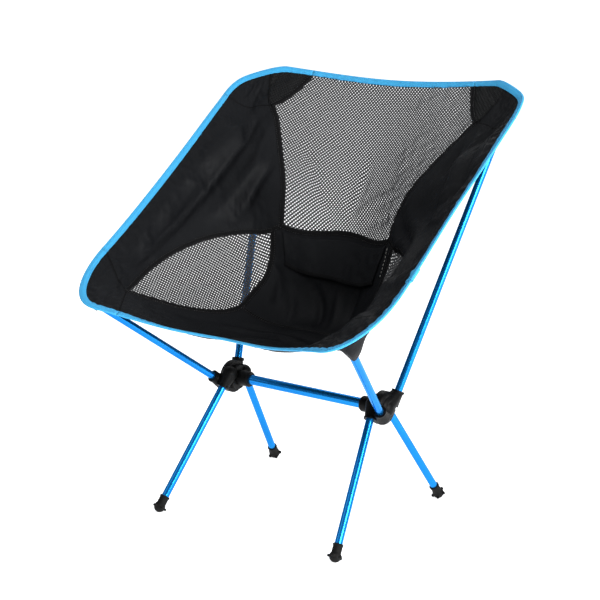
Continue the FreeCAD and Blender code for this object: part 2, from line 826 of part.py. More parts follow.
def closed_sheet(name, upper, lower):
    """A solid between two nets of points, closed by ruled sides."""
    top, bottom = skin(upper), skin(lower)
    faces = [top.toShape(), bottom.toShape()]
    u0, u1, v0, v1 = top.bounds()
    w0, w1, x0, x1 = bottom.bounds()
    for one, two in ((top.uIso(u0), bottom.uIso(w0)), (top.uIso(u1), bottom.uIso(w1)),
                     (top.vIso(v0), bottom.vIso(x0)), (top.vIso(v1), bottom.vIso(x1))):
        faces.append(Part.makeRuledSurface(one.toShape(), two.toShape()))
    shell = Part.makeShell(faces)
    shell.sewShape()
    solid = Part.makeSolid(Part.Shell(shell.Faces) if shell.ShapeType != "Shell" else shell)
    if solid.Volume < 0:
        solid.reverse()
    item = doc.addObject("Part::Feature", name)
    item.Shape = solid
    keep(item, name, Placement())
    return item


# ---------------------------------------------------------------- seat panels

def build_seat():
    cloth = size("cloth_thickness")
    mesh = size("mesh_thickness")
    gap = size("seam_gap")
    inset = size("binding_width")
    window_low = curve(WINDOW_LOW)
    window_top = curve(WINDOW_TOP)
    window_rear = curve(WINDOW_REAR)
    band_seam = curve(BAND_SEAM)
    back_side = curve(BACK_SIDE)
    patch_arc = curve(BACK_PATCH_ARC)
    mirror = lambda run: [(-u, v) for u, v in run]

    front_rim = rim_run(-FRONT_SEAM_END, FRONT_SEAM_END, inset)
    band_top = mirror(window_low) + band_seam[1:-1] + list(reversed(window_low))
    band_side = [front_rim[-1], FRONT_PATCH_TIP]
    net = patch(front_rim, band_top, mirror(band_side), band_side, 32, 6, 1.0)
    sheet_solid("front_band", trimmed(net, gap), cloth)

    seat_side = window_rear + [SEAT_CORNER]
    seat_top = [(-SEAT_CORNER[0], SEAT_CORNER[1]), SEAT_CORNER]
    net = patch(band_seam, seat_top, mirror(seat_side), seat_side, 14, 14, 1.0)
    sheet_solid("seat_panel", trimmed(net, gap), cloth)

    top_run = rim_run(BACK_SEAM_END, 10 - BACK_SEAM_END, inset)
    upper_side = back_side + patch_arc[1:] + [top_run[0]]
    net = patch(mirror(seat_top), top_run, upper_side, mirror(upper_side), 14, 24, 1.0)
    sheet_solid("back_mesh", trimmed(net, gap), mesh)

    for side_name, side in SIDES:
        build_wing_side(side_name, side, window_low, window_top, window_rear, back_side)
    build_pouch()


def build_wing_side(side_name, side, window_low, window_top, window_rear, back_side):
    """The wing, its mesh window and the two corner patches of one side."""
    cloth = size("cloth_thickness")
    mesh = size("mesh_thickness")
    gap = size("seam_gap")
    inset = size("binding_width")
    blunt = [window_low[1], window_top[1]]
    net = patch(window_low[1:], window_top[1:], blunt, window_rear, 14, 8, side)
    sheet_solid("side_mesh_" + side_name, trimmed(net, gap), mesh)

    outer = rim_run(2.0, BACK_SEAM_START, inset)
    inner = list(reversed([FRONT_PATCH_TIP] + window_top[1:] + [SEAT_CORNER]))
    rear = [outer[-1]] + list(reversed(curve(BACK_PATCH_SEAM)))
    front = [outer[0], FRONT_PATCH_TIP]
    inner_run = list(reversed(inner)) + back_side[1:]
    net = patch(outer, inner_run, front, rear, 30, 10, side)
    sheet_solid("wing_" + side_name, trimmed(net, gap), cloth)

    front_rim = rim_run(FRONT_SEAM_END, 1.5, inset)
    side_rim = rim_run(1.5, 2.0, inset)
    net = patch(front_rim, [FRONT_PATCH_TIP, side_rim[-1]],
                [front_rim[0], FRONT_PATCH_TIP], side_rim, 8, 8, side)
    sheet_solid("corner_front_" + side_name, trimmed(net, gap), cloth)

    side_rim = rim_run(BACK_SEAM_START, 3.5, inset)
    top_rim = rim_run(3.5, BACK_SEAM_END, inset)
    seam = list(reversed(rear))
    inner_edge = curve(BACK_PATCH_ARC) + [top_rim[-1]]
    net = patch(seam, list(reversed(top_rim)), inner_edge, side_rim, 12, 8, side)
    sheet_solid("corner_back_" + side_name, trimmed(net, gap), cloth)

    thick = size("binding_thickness")
    for name, start, end, count in (("corner_front", FRONT_SEAM_END, 2.0, 18),
                                    ("side", 2.0, BACK_SEAM_START, 16),
                                    ("corner_back", BACK_SEAM_START, BACK_SEAM_END, 20)):
        net = strip(start, end, count, side)
        sheet_solid("binding_%s_%s" % (name, side_name), net, thick)


def strip(start, end, count, side=1.0):
    """A net along the rim, from its outer edge to its inner edge."""
    width = size("binding_width") - size("seam_gap")
    trim = 0.004
    net = []
    for k in range(count + 1):
        q = start + trim + (end - start - 2 * trim) * k / count
        column = []
        for distance in (0.0, width / 2, width):
            u, v = rim_inset(q, distance)
            column.append((side * u, v))
        net.append(column)
    return net


def build_pouch():
    """A flap over the rear of the seat panel, open along its lower edge."""
    low = curve([(-0.30, 0.555), (0.0, 0.545), (0.30, 0.548)])
    high = [(-0.31, 0.606), (0.31, 0.606)]
    net = patch(low, high, [low[0], high[0]], [low[-1], high[-1]], 10, 5, 1.0)
    sheet_solid("seat_pouch", net, size("cloth_thickness"), size("pouch_lift"))


def build_front_and_top_binding():
    thick = size("binding_thickness")
    sheet_solid("binding_front", strip(-FRONT_SEAM_END, FRONT_SEAM_END, 24), thick)
    sheet_solid("binding_top", strip(BACK_SEAM_END, 10 - BACK_SEAM_END, 24), thick)


def sheet_from_points(name, middle, thickness):
    """A closed sheet of even thickness along a net of points."""
    last_i, last_j = len(middle) - 1, len(middle[0]) - 1
    upper, lower = [], []
    for i in range(last_i + 1):
        high, low = [], []
        for j in range(last_j + 1):
            run = middle[min(i + 1, last_i)][j] - middle[max(i - 1, 0)][j]
            rise = middle[i][min(j + 1, last_j)] - middle[i][max(j - 1, 0)]
            normal = run.cross(rise).normalize() * (thickness / 2.0)
            high.append(middle[i][j] + normal)
            low.append(middle[i][j] - normal)
        upper.append(high)
        lower.append(low)
    return closed_sheet(name, upper, lower)


def build_pocket(name, side, rod, start, end):
    """The cloth pocket under one corner: sewn along the rim and open toward the pole,
    it runs under the pole, round its tip and up to the rim."""
    mouth, tip, along = rod_ends(side, rod)
    radius = size("pocket_ring_radius")
    ring = tip - along * size("pocket_depth")
    u, v = rim_inset((start + end) / 2, 20.0)
    below = inner_normal(side * u, v) * -1
    below = (below - along * below.dot(along)).normalize()
    under = ring + below * radius
    round_tip = tip + along * size("pocket_end_room") + below * (radius * 0.55)
    count = 20
    net = []
    rim_points = []
    for k in range(count + 1):
        u, v = rim_inset(start + (end - start) * k / count, size("pocket_rim_inset"))
        normal = inner_normal(side * u, v)
        rim_points.append(sling(side * u, v) - normal * size("pocket_rim_gap"))
    first, last = rim_points[0], rim_points[-1]
    inward = (under - (first + last) * 0.5).normalize() * 6.0
    columns = bending(4)
    for k in range(count + 1):
        t = k / count
        swell = math.sin(math.pi * t) ** 2
        low = first + (last - first) * t + inward
        low += (under - (first + last) * 0.5 - inward) * swell
        waist = rim_points[k] * 0.62 + low * 0.38
        belly = rim_points[k] * 0.30 + low * 0.70
        middle = rim_points[count // 2]
        waist += (round_tip - (middle * 0.62 + under * 0.38)) * swell ** 2
        side_point = tip - along * 8.0 + below * radius
        belly += (side_point - (middle * 0.30 + under * 0.70)) * swell ** 2
        column = []
        for j in range(10):
            share = weights(columns, j / 9.0)
            point = Vector()
            for value, knot in zip(share, (rim_points[k], waist, belly, low)):
                point += knot * value
            column.append(point)
        net.append(column)
    sheet_from_points(name, net, size("cloth_thickness"))


def build_pockets():
    for side_name, side in SIDES:
        build_pocket("pocket_front_" + side_name, side, "seat_pole", 1.0, 1.85)
        build_pocket("pocket_back_" + side_name, side, "back_pole", 3.2, 4.15)


# ---------------------------------------------------------------- assembly

build_crossbar()
for side_label, side_sign in SIDES:
    build_hub(side_label, side_sign)
    build_leg("front", side_label, side_sign)
    build_leg("rear", side_label, side_sign)
    build_seat_pole(side_label, side_sign)
    build_back_pole(side_label, side_sign)
build_seat()
build_front_and_top_binding()
build_pockets()
doc.recompute()

for item in doc.Objects:
    if "Invalid" in item.State or "Error" in item.State:
        raise RuntimeError("%s did not recompute: %s" % (item.Name, item.State))
os.makedirs("parts", exist_ok=True)
for node in nodes:
    shape = node.Shape
    if shape.isNull() or not shape.isValid():
        raise RuntimeError(node.Label + " is not a valid solid")
    print("%-28s %9.1f mm3, %d solid" % (node.Label, shape.Volume, len(shape.Solids)))
    shape.exportStep("parts/%s.step" % node.Label)
print(len(nodes), "nodes")
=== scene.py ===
"""Ultralight backpacking chair: the looks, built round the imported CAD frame. Metres, Z up."""

import math

import bmesh
import bpy
import numpy as np
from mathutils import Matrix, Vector


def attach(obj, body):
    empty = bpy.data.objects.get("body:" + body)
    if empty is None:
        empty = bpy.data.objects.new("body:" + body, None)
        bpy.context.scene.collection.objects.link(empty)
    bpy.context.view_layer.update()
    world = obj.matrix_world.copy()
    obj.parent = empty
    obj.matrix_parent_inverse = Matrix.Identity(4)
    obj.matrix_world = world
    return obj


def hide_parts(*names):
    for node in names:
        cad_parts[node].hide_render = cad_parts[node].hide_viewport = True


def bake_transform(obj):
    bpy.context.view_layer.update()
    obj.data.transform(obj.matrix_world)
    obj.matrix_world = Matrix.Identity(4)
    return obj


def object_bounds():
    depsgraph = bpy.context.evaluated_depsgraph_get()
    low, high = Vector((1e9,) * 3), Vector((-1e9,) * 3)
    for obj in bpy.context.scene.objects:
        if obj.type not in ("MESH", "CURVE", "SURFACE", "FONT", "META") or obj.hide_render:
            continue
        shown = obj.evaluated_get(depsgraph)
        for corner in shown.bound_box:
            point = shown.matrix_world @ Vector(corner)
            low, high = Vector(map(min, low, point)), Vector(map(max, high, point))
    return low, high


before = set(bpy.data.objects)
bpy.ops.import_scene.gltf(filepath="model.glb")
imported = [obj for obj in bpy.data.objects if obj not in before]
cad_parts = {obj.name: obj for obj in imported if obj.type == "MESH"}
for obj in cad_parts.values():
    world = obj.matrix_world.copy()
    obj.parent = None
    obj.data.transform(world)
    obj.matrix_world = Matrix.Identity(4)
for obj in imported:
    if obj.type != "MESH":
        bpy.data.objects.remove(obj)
cad_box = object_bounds()
middle = (cad_box[0] + cad_box[1]) / 2
MM = 0.001
SIDES = (("left", 1.0), ("right", -1.0))


# ---------------------------------------------------------------- camera, light and floor

def from_angles(azimuth, elevation):
    """The direction from the object towards a viewer; azimuth 0 stands in front, at -Y."""
    a, e = math.radians(azimuth), math.radians(elevation)
    return Vector((math.sin(a) * math.cos(e), -math.cos(a) * math.cos(e), math.sin(e)))


def add_camera():
    data = bpy.data.cameras.new("camera")
    data.sensor_width = 36.0
    data.lens = 89.4
    camera = bpy.data.objects.new("camera", data)
    bpy.context.scene.collection.objects.link(camera)
    back = from_angles(35.06, 14.13)
    target = middle + Vector((-0.001, -0.0122, 0.0043))
    camera.location = target + back * 2.286
    camera.rotation_euler = (-back).to_track_quat("-Z", "Y").to_euler()
    bpy.context.scene.camera = camera


def add_softbox(name, azimuth, elevation, distance, width, height, power):
    data = bpy.data.lights.new(name, "AREA")
    data.shape = "RECTANGLE"
    data.size, data.size_y = width, height
    data.energy = power
    light = bpy.data.objects.new(name, data)
    bpy.context.scene.collection.objects.link(light)
    away = from_angles(azimuth, elevation)
    light.location = middle + away * distance
    light.rotation_euler = (-away).to_track_quat("-Z", "Y").to_euler()


# The studio's walls: grey at the horizon and lighter overhead.
SKY = [(0.0, (0.20, 0.205, 0.21)), (0.18, (0.17, 0.175, 0.18)), (0.5, (0.30, 0.31, 0.32)),
       (1.0, (0.48, 0.49, 0.51))]


def add_studio():
    scene = bpy.context.scene
    scene.view_settings.view_transform = "Standard"
    world = bpy.data.worlds.new("studio")
    world.use_nodes = True
    background = world.node_tree.nodes["Background"]
    place = node(world, "ShaderNodeTexCoord").outputs["Generated"]
    height = node(world, "ShaderNodeSeparateXYZ")
    link(world, place, height.inputs[0])
    sky = ramp(world, height.outputs["Z"], SKY)
    link(world, sky, background.inputs["Color"])
    background.inputs["Strength"].default_value = 1.0
    scene.world = world
    add_softbox("key", 76, 17, 2.4, 0.9, 1.1, 68)
    add_softbox("fill", -35, 34, 3.0, 1.2, 1.2, 5)
    add_softbox("top", 20, 84, 2.6, 1.4, 1.4, 11)
    add_softbox("rear", 205, 35, 3.0, 1.6, 1.0, 12)
    data = bpy.data.meshes.new("floor")
    reach = 60.0
    corners = [(-reach, -reach, 0), (reach, -reach, 0), (reach, reach, 0), (-reach, reach, 0)]
    data.from_pydata([Vector(c) for c in corners], [], [(0, 1, 2, 3)])
    floor = bpy.data.objects.new("floor", data)
    bpy.context.scene.collection.objects.link(floor)
    floor.location.z = cad_box[0].z - 0.0002
    material, shader = new_material("pale_floor")
    shader.inputs["Base Color"].default_value = (0.93, 0.94, 0.95, 1)
    shader.inputs["Roughness"].default_value = 0.9
    shader.inputs["Specular IOR Level"].default_value = 0.1
    shader.inputs["Emission Color"].default_value = (1, 1, 1, 1)
    shader.inputs["Emission Strength"].default_value = 0.85
    data.materials.append(material)


# ---------------------------------------------------------------- materials

def new_material(name):
    material = bpy.data.materials.new(name)
    material.use_nodes = True
    shader = material.node_tree.nodes["Principled BSDF"]
    return material, shader


def node(material, kind, settings=None, **values):
    """A new shader node with its settings and its sockets' values."""
    made = material.node_tree.nodes.new(kind)
    for key, value in (settings or {}).items():
        setattr(made, key, value)
    for key, value in values.items():
        made.inputs[key.replace("_", " ")].default_value = value
    return made


def link(material, source, target):
    material.node_tree.links.new(source, target)


def ramp(material, source, stops):
    """Colours along a value, as a colour ramp."""
    made = node(material, "ShaderNodeValToRGB")
    link(material, source, made.inputs["Fac"])
    elements = made.color_ramp.elements
    elements[0].position, elements[0].color = stops[0][0], (*stops[0][1], 1)
    elements[1].position, elements[1].color = stops[-1][0], (*stops[-1][1], 1)
    for place, colour in stops[1:-1]:
        elements.new(place).color = (*colour, 1)
    return made.outputs["Color"]


def bump(material, shader, height, strength, distance):
    made = node(material, "ShaderNodeBump", Strength=strength, Distance=distance)
    link(material, height, made.inputs["Height"])
    link(material, made.outputs["Normal"], shader.inputs["Normal"])


def combine(material, operation, one, two):
    made = node(material, "ShaderNodeMath", {"operation": operation})
    for k, value in enumerate((one, two)):
        if isinstance(value, (int, float)):
            made.inputs[k].default_value = value
        else:
            link(material, value, made.inputs[k])
    return made.outputs[0]


def noise(material, where, scale, detail, **values):
    """The strength of a noise pattern of that scale, taken at the object's own places."""
    made = node(material, "ShaderNodeTexNoise", Scale=scale, Detail=detail, **values)
    link(material, where, made.inputs["Vector"])
    return made.outputs["Fac"]


def object_place(material):
    return node(material, "ShaderNodeTexCoord").outputs["Object"]


def scaled(material, value, factor, base=None):
    """A value times a factor, plus a base."""
    product = combine(material, "MULTIPLY", value, factor)
    return product if base is None else combine(material, "ADD", product, base)


def paint(material, shader, tone, stops):
    link(material, ramp(material, tone, stops), shader.inputs["Base Color"])


def woven(name, dark, light, thread, roughness, sheen, gloss, rib=0.0):
    """Cloth with a plain weave of that thread spacing in metres, along the piece's own UV."""
    material, shader = new_material(name)
    place = node(material, "ShaderNodeUVMap", {"uv_map": "weave"}).outputs["UV"]
    waves = []
    for direction in ("X", "Y"):
        wave = node(material, "ShaderNodeTexWave", {"bands_direction": direction},
                    Scale=0.314 / thread, Distortion=0.25, Detail=1.0, Detail_Scale=2.0)
        link(material, place, wave.inputs["Vector"])
        waves.append(wave.outputs["Fac"])
    weave = combine(material, "MAXIMUM", *waves)
    where = object_place(material)
    cloud = noise(material, where, 9.0, 4.0, Roughness=0.6)
    fuzz = noise(material, where, 900.0, 2.0)
    tone = scaled(material, cloud, 0.5, scaled(material, weave, 0.3))
    tone = scaled(material, fuzz, 0.2, tone)
    paint(material, shader, tone, [(0.25, dark), (0.8, light)])
    link(material, scaled(material, weave, -0.12, roughness), shader.inputs["Roughness"])
    shader.inputs["Sheen Weight"].default_value = sheen
    shader.inputs["Sheen Roughness"].default_value = 0.4
    shader.inputs["Specular IOR Level"].default_value = gloss
    height = scaled(material, fuzz, 0.4, weave)
    if rib:
        ribs = node(material, "ShaderNodeTexWave", {"bands_direction": "X"},
                    Scale=0.314 / rib, Distortion=0.0)
        link(material, place, ribs.inputs["Vector"])
        height = scaled(material, ribs.outputs["Fac"], 1.5, height)
    bump(material, shader, height, 0.5, thread * 0.25)
    return material


def thread_stuff(name, dark, light, roughness, gloss=0.5, sheen=0.2):
    """Twisted sewing or knitting yarn."""
    material, shader = new_material(name)
    fuzz = noise(material, object_place(material), 1400.0, 3.0)
    paint(material, shader, fuzz, [(0.3, dark), (0.7, light)])
    shader.inputs["Roughness"].default_value = roughness
    shader.inputs["Specular IOR Level"].default_value = gloss
    shader.inputs["Sheen Weight"].default_value = sheen
    bump(material, shader, fuzz, 0.4, 0.0002)
    return material


def anodised():
    """Blue anodised aluminium tube: satin, with a slightly uneven dye."""
    material, shader = new_material("anodised_blue")
    cloud = noise(material, object_place(material), 14.0, 5.0)
    paint(material, shader, cloud, [(0.3, (0.006, 0.195, 0.59)), (0.7, (0.010, 0.24, 0.67))])
    shader.inputs["Metallic"].default_value = 0.88
    link(material, scaled(material, cloud, 0.05, 0.22), shader.inputs["Roughness"])
    shader.inputs["Specular Tint"].default_value = (0.20, 0.66, 0.96, 1)
    shader.inputs["Coat Weight"].default_value = 0.12
    shader.inputs["Coat Roughness"].default_value = 0.15
    return material


def plain_aluminium():
    material, shader = new_material("plain_aluminium")
    grain = noise(material, object_place(material), 1800.0, 3.0)
    shader.inputs["Base Color"].default_value = (0.72, 0.74, 0.76, 1)
    shader.inputs["Metallic"].default_value = 1.0
    link(material, scaled(material, grain, 0.15, 0.22), shader.inputs["Roughness"])
    bump(material, shader, grain, 0.15, 0.0001)
    return material


def moulded(name, dark, light, roughness, grain_size, strength):
    """Moulded nylon or rubber with a fine spark-eroded grain and faint scuffs."""
    material, shader = new_material(name)
    where = object_place(material)
    cloud = noise(material, where, 45.0, 5.0, Roughness=0.65)
    grain = noise(material, where, 1.0 / grain_size, 2.0)
    paint(material, shader, cloud, [(0.3, dark), (0.75, light)])
    link(material, scaled(material, cloud, 0.2, roughness), shader.inputs["Roughness"])
    shader.inputs["Specular IOR Level"].default_value = 0.11
    bump(material, shader, grain, strength, 0.0003)
    return material


def make_materials():
    return {
        "cloth": woven("black_cloth", (0.0028, 0.0031, 0.0038), (0.0080, 0.0086, 0.0102),
                       0.0006, 0.60, 0.0, 0.11),
        "tape": woven("black_tape", (0.0025, 0.0025, 0.0028), (0.0065, 0.0065, 0.0070),
                      0.0005, 0.75, 0.0, 0.08, rib=0.0012),
        "binding": woven("blue_binding", (0.038, 0.34, 0.66), (0.070, 0.46, 0.80),
                         0.0005, 0.62, 0.05, 0.14, rib=0.0011),
        "mesh": thread_stuff("black_mesh", (0.008, 0.008, 0.009), (0.020, 0.020, 0.022), 0.55),
        "inset": thread_stuff("black_inset_mesh", (0.0045, 0.0047, 0.0048),
                              (0.0110, 0.0113, 0.0115), 0.65, gloss=0.15, sheen=0.0),
        "stitch_black": thread_stuff("black_thread", (0.006, 0.006, 0.007),
                                     (0.02, 0.02, 0.022), 0.5),
        "stitch_blue": thread_stuff("blue_thread", (0.016, 0.22, 0.62),
                                    (0.035, 0.33, 0.80), 0.5),
        "stitch_pale": thread_stuff("pale_thread", (0.30, 0.29, 0.26), (0.55, 0.54, 0.50), 0.6),
        "anodised": anodised(),
        "aluminium": plain_aluminium(),
        "nylon": moulded("black_nylon", (0.0016, 0.0016, 0.0017), (0.0045, 0.0045, 0.0047),
                         0.38, 0.0009, 0.25),
        "rubber": moulded("black_rubber", (0.0050, 0.0050, 0.0050), (0.0120, 0.0115, 0.0110),
                          0.52, 0.0012, 0.35),
        "elastic": thread_stuff("shock_cord", (0.010, 0.010, 0.011), (0.035, 0.035, 0.037), 0.7),
    }


# ---------------------------------------------------------------- the sling's surface, in mm

# Right half is the mirror of the left. Each line runs across: middle, seam, wing, edge.
LINES = [
    [(0, -213, 320), (95, -227, 325), (185, -252, 341), (262, -277, 353)],
    [(0, -165, 305), (92, -172, 308), (185, -185, 352), (268, -195, 392)],
    [(0, -90, 291), (88, -95, 296), (178, -105, 365), (268, -110, 443)],
    [(0, -10, 288), (84, -15, 300), (172, -20, 398), (267, -25, 500)],
    [(0, 60, 312), (88, 45, 340), (178, 45, 455), (269, 50, 550)],
    [(0, 112, 421), (103, 80, 429), (190, 88, 518), (271, 110, 591)],
    [(0, 160, 500), (122, 110, 500), (207, 122, 560), (272, 155, 622)],
    [(0, 208, 575), (162, 166, 576), (232, 176, 610), (273, 190, 650)],
    [(0, 255, 648), (150, 246, 656), (215, 228, 664), (273, 218, 671)],
]
BAR_Y = 1.25
FRONT_CORNER = (0.72, 0.17, 0.28, 0.17)
BACK_CORNER = (0.55, 0.735, 0.45, 0.265)
FRONT_SEAM_END = 0.83
BACK_SEAM_START = 3.0
BACK_SEAM_END = 4.37
BINDING = 10.0
CLOTH_THICKNESS = 0.9
POCKET_THICKNESS = 1.1
TAPE_WIDTH, TAPE_THICKNESS = 9.0, 2.0
SEAM_WIDTH, SEAM_THICKNESS = 3.4, 1.5
STRIP_STEP = 4.0
INSET_LIFT = 0.6

def spline_table(count):
    """Second derivatives at each knot of a natural spline, for each unit value."""
    system = np.eye(count)
    pull = np.zeros((count, count))
    for k in range(1, count - 1):
        system[k, k - 1:k + 2] = (1, 4, 1)
        pull[k, k - 1:k + 2] = (6, -12, 6)
    return np.linalg.solve(system, pull)


def spline_weights(table, t):
    count = len(table)
    place = np.clip(t, -0.05, 1.05) * (count - 1)
    low = np.clip(np.floor(place).astype(int), 0, count - 2)
    b = place - low
    a = 1 - b
    unit = np.eye(count)
    a, b = a[:, None], b[:, None]
    return (a * unit[low] + b * unit[low + 1]
            + ((a ** 3 - a) * table[low] + (b ** 3 - b) * table[low + 1]) / 6)


GRID = np.array([[(-x, y + BAR_Y, z) for x, y, z in reversed(line[1:])]
                 + [(x, y + BAR_Y, z) for x, y, z in line] for line in LINES], float)
ALONG, ACROSS = spline_table(9), spline_table(7)


def pairs(uv):
    return np.asarray(uv, float).reshape(-1, 2)


def sling(uv):
    """Points of the smooth sling for rows of (u, v)."""
    uv = pairs(uv)
    return np.einsum("ni,nj,ijk->nk", spline_weights(ALONG, uv[:, 1]),
                     spline_weights(ACROSS, (uv[:, 0] + 1) / 2), GRID)


def unit(rows):
    return rows / np.maximum(np.linalg.norm(rows, axis=1, keepdims=True), 1e-9)


def slopes(uv):
    step = 0.002
    du, dv = np.array([step, 0]), np.array([0, step])
    across = (sling(uv + du) - sling(uv - du)) / (2 * step)
    back = (sling(uv + dv) - sling(uv - dv)) / (2 * step)
    return across, back


def normals(uv):
    """Unit normals on the sitter's side."""
    across, back = slopes(pairs(uv))
    return unit(np.cross(across, back))


def to_uv(uv, shift):
    """The change of (u, v) that moves each point by a vector along the sling."""
    across, back = slopes(uv)
    aa, ab, bb = [(p * q).sum(1) for p, q in ((across, across), (across, back), (back, back))]
    ra, rb = (across * shift).sum(1), (back * shift).sum(1)
    scale = aa * bb - ab * ab
    return np.stack([(ra * bb - rb * ab) / scale, (rb * aa - ra * ab) / scale], 1)


def rim(q):
    """The seat's outer edge on the left half: 0 front middle, 5 top middle."""
    mid_u, mid_v, wide, long_ = FRONT_CORNER
    far_u, far_v, far_wide, far_long = BACK_CORNER
    if q <= 1.0:
        return mid_u * q, 0.0
    if q <= 2.0:
        turn = math.radians(90.0 * (q - 2.0))
        return mid_u + wide * math.cos(turn), mid_v + long_ * math.sin(turn)
    if q <= 3.0:
        return 1.0, mid_v + (far_v - mid_v) * (q - 2.0)
    if q <= 4.0:
        turn = math.radians(90.0 * (q - 3.0))
        return far_u + far_wide * math.cos(turn), far_v + far_long * math.sin(turn)
    return far_u * (5.0 - q), 1.0


def rim_at(q):
    """The edge all round: q below 0 or above 5 is the right half."""
    if q < 0:
        u, v = rim(-q)
        return -u, v
    if q > 5:
        u, v = rim(10 - q)
        return -u, v
    return rim(q)


def rim_inset(q, distance):
    """Rows of (u, v) at a distance in mm inside the edge, for an array of q."""
    q = np.atleast_1d(np.asarray(q, float))
    here = np.array([rim_at(x) for x in q])
    low = np.array([rim_at(x - 0.02) for x in q])
    high = np.array([rim_at(x + 0.02) for x in q])
    across, back = slopes(here)
    run = across * (high - low)[:, :1] + back * (high - low)[:, 1:]
    inward = unit(np.cross(np.cross(across, back), run))
    distance = np.broadcast_to(np.asarray(distance, float), q.shape)
    return here + to_uv(here, inward * distance[:, None])


# Seams, on the left half.
FRONT_PATCH_TIP = (0.705, 0.114)
WINDOW_TOP = [(0.705, 0.114), (0.76, 0.217), (0.755, 0.30), (0.71, 0.376), (0.62, 0.46),
              (0.52, 0.53), (0.385, 0.600)]
WINDOW_LOW = [(0.705, 0.114), (0.606, 0.165), (0.52, 0.217), (0.44, 0.30), (0.415, 0.36)]
WINDOW_REAR = [(0.415, 0.36), (0.42, 0.42), (0.40, 0.48), (0.38, 0.55), (0.385, 0.600)]
BAND_SEAM = [(-0.415, 0.36), (-0.25, 0.385), (0.0, 0.40), (0.25, 0.385), (0.415, 0.36)]
SEAT_CORNER = (0.335, 0.622)
BACK_SIDE = [(0.335, 0.622), (0.335, 0.70), (0.332, 0.78), (0.337, 0.84), (0.368, 0.882),
             (0.430, 0.905)]
BACK_PATCH_ARC = [(0.430, 0.905), (0.372, 0.932), (0.346, 0.962)]
BACK_PATCH_SEAM = [(0.430, 0.905), (0.52, 0.890), (0.64, 0.858), (0.80, 0.81)]


def reach_along(line):
    """Length from the start of a run to each of its points."""
    return np.concatenate([[0], np.cumsum(np.linalg.norm(np.diff(line, axis=0), axis=1))])


def curve(points, count=48):
    """A smooth run through a few points."""
    points = np.array(points, float)
    share = spline_weights(spline_table(len(points)), np.linspace(0, 1, count + 1))
    return share @ points


def at(points, t):
    """Points at shares of the length of a run."""
    points = np.asarray(points, float)
    steps = reach_along(points)
    t = np.asarray(t, float) * steps[-1]
    return np.stack([np.interp(t, steps, points[:, k]) for k in (0, 1)], -1)


def flip(points):
    return np.asarray(points, float) * (-1, 1)


def net(low, high, start, end, across, along):
    """(u, v) filled in between four edges that meet at their corners."""
    s, t = np.linspace(0, 1, across + 1), np.linspace(0, 1, along + 1)
    a, b = at(low, s)[:, None], at(high, s)[:, None]
    c, d = at(start, t)[None], at(end, t)[None]
    s, t = s[:, None, None], t[None, :, None]
    low, high = np.asarray(low, float), np.asarray(high, float)
    return ((1 - t) * a + t * b + (1 - s) * c + s * d
            - ((1 - s) * (1 - t) * low[0] + s * (1 - t) * low[-1]
               + (1 - s) * t * high[0] + s * t * high[-1]))


# ---------------------------------------------------------------- folds and drape

def nearest(points, line):
    """Distance in mm to a polyline and the share of its length at the nearest place."""
    best = np.full(len(points), 1e9)
    share = np.zeros(len(points))
    steps = reach_along(line)
    for k in range(len(line) - 1):
        run = line[k + 1] - line[k]
        t = np.clip(((points - line[k]) @ run) / (run @ run), 0, 1)
        far = np.linalg.norm(points - line[k] - t[:, None] * run, axis=1)
        closer = far < best
        best[closer] = far[closer]
        share[closer] = ((steps[k] + t * (steps[k + 1] - steps[k])) / steps[-1])[closer]
    return best, share


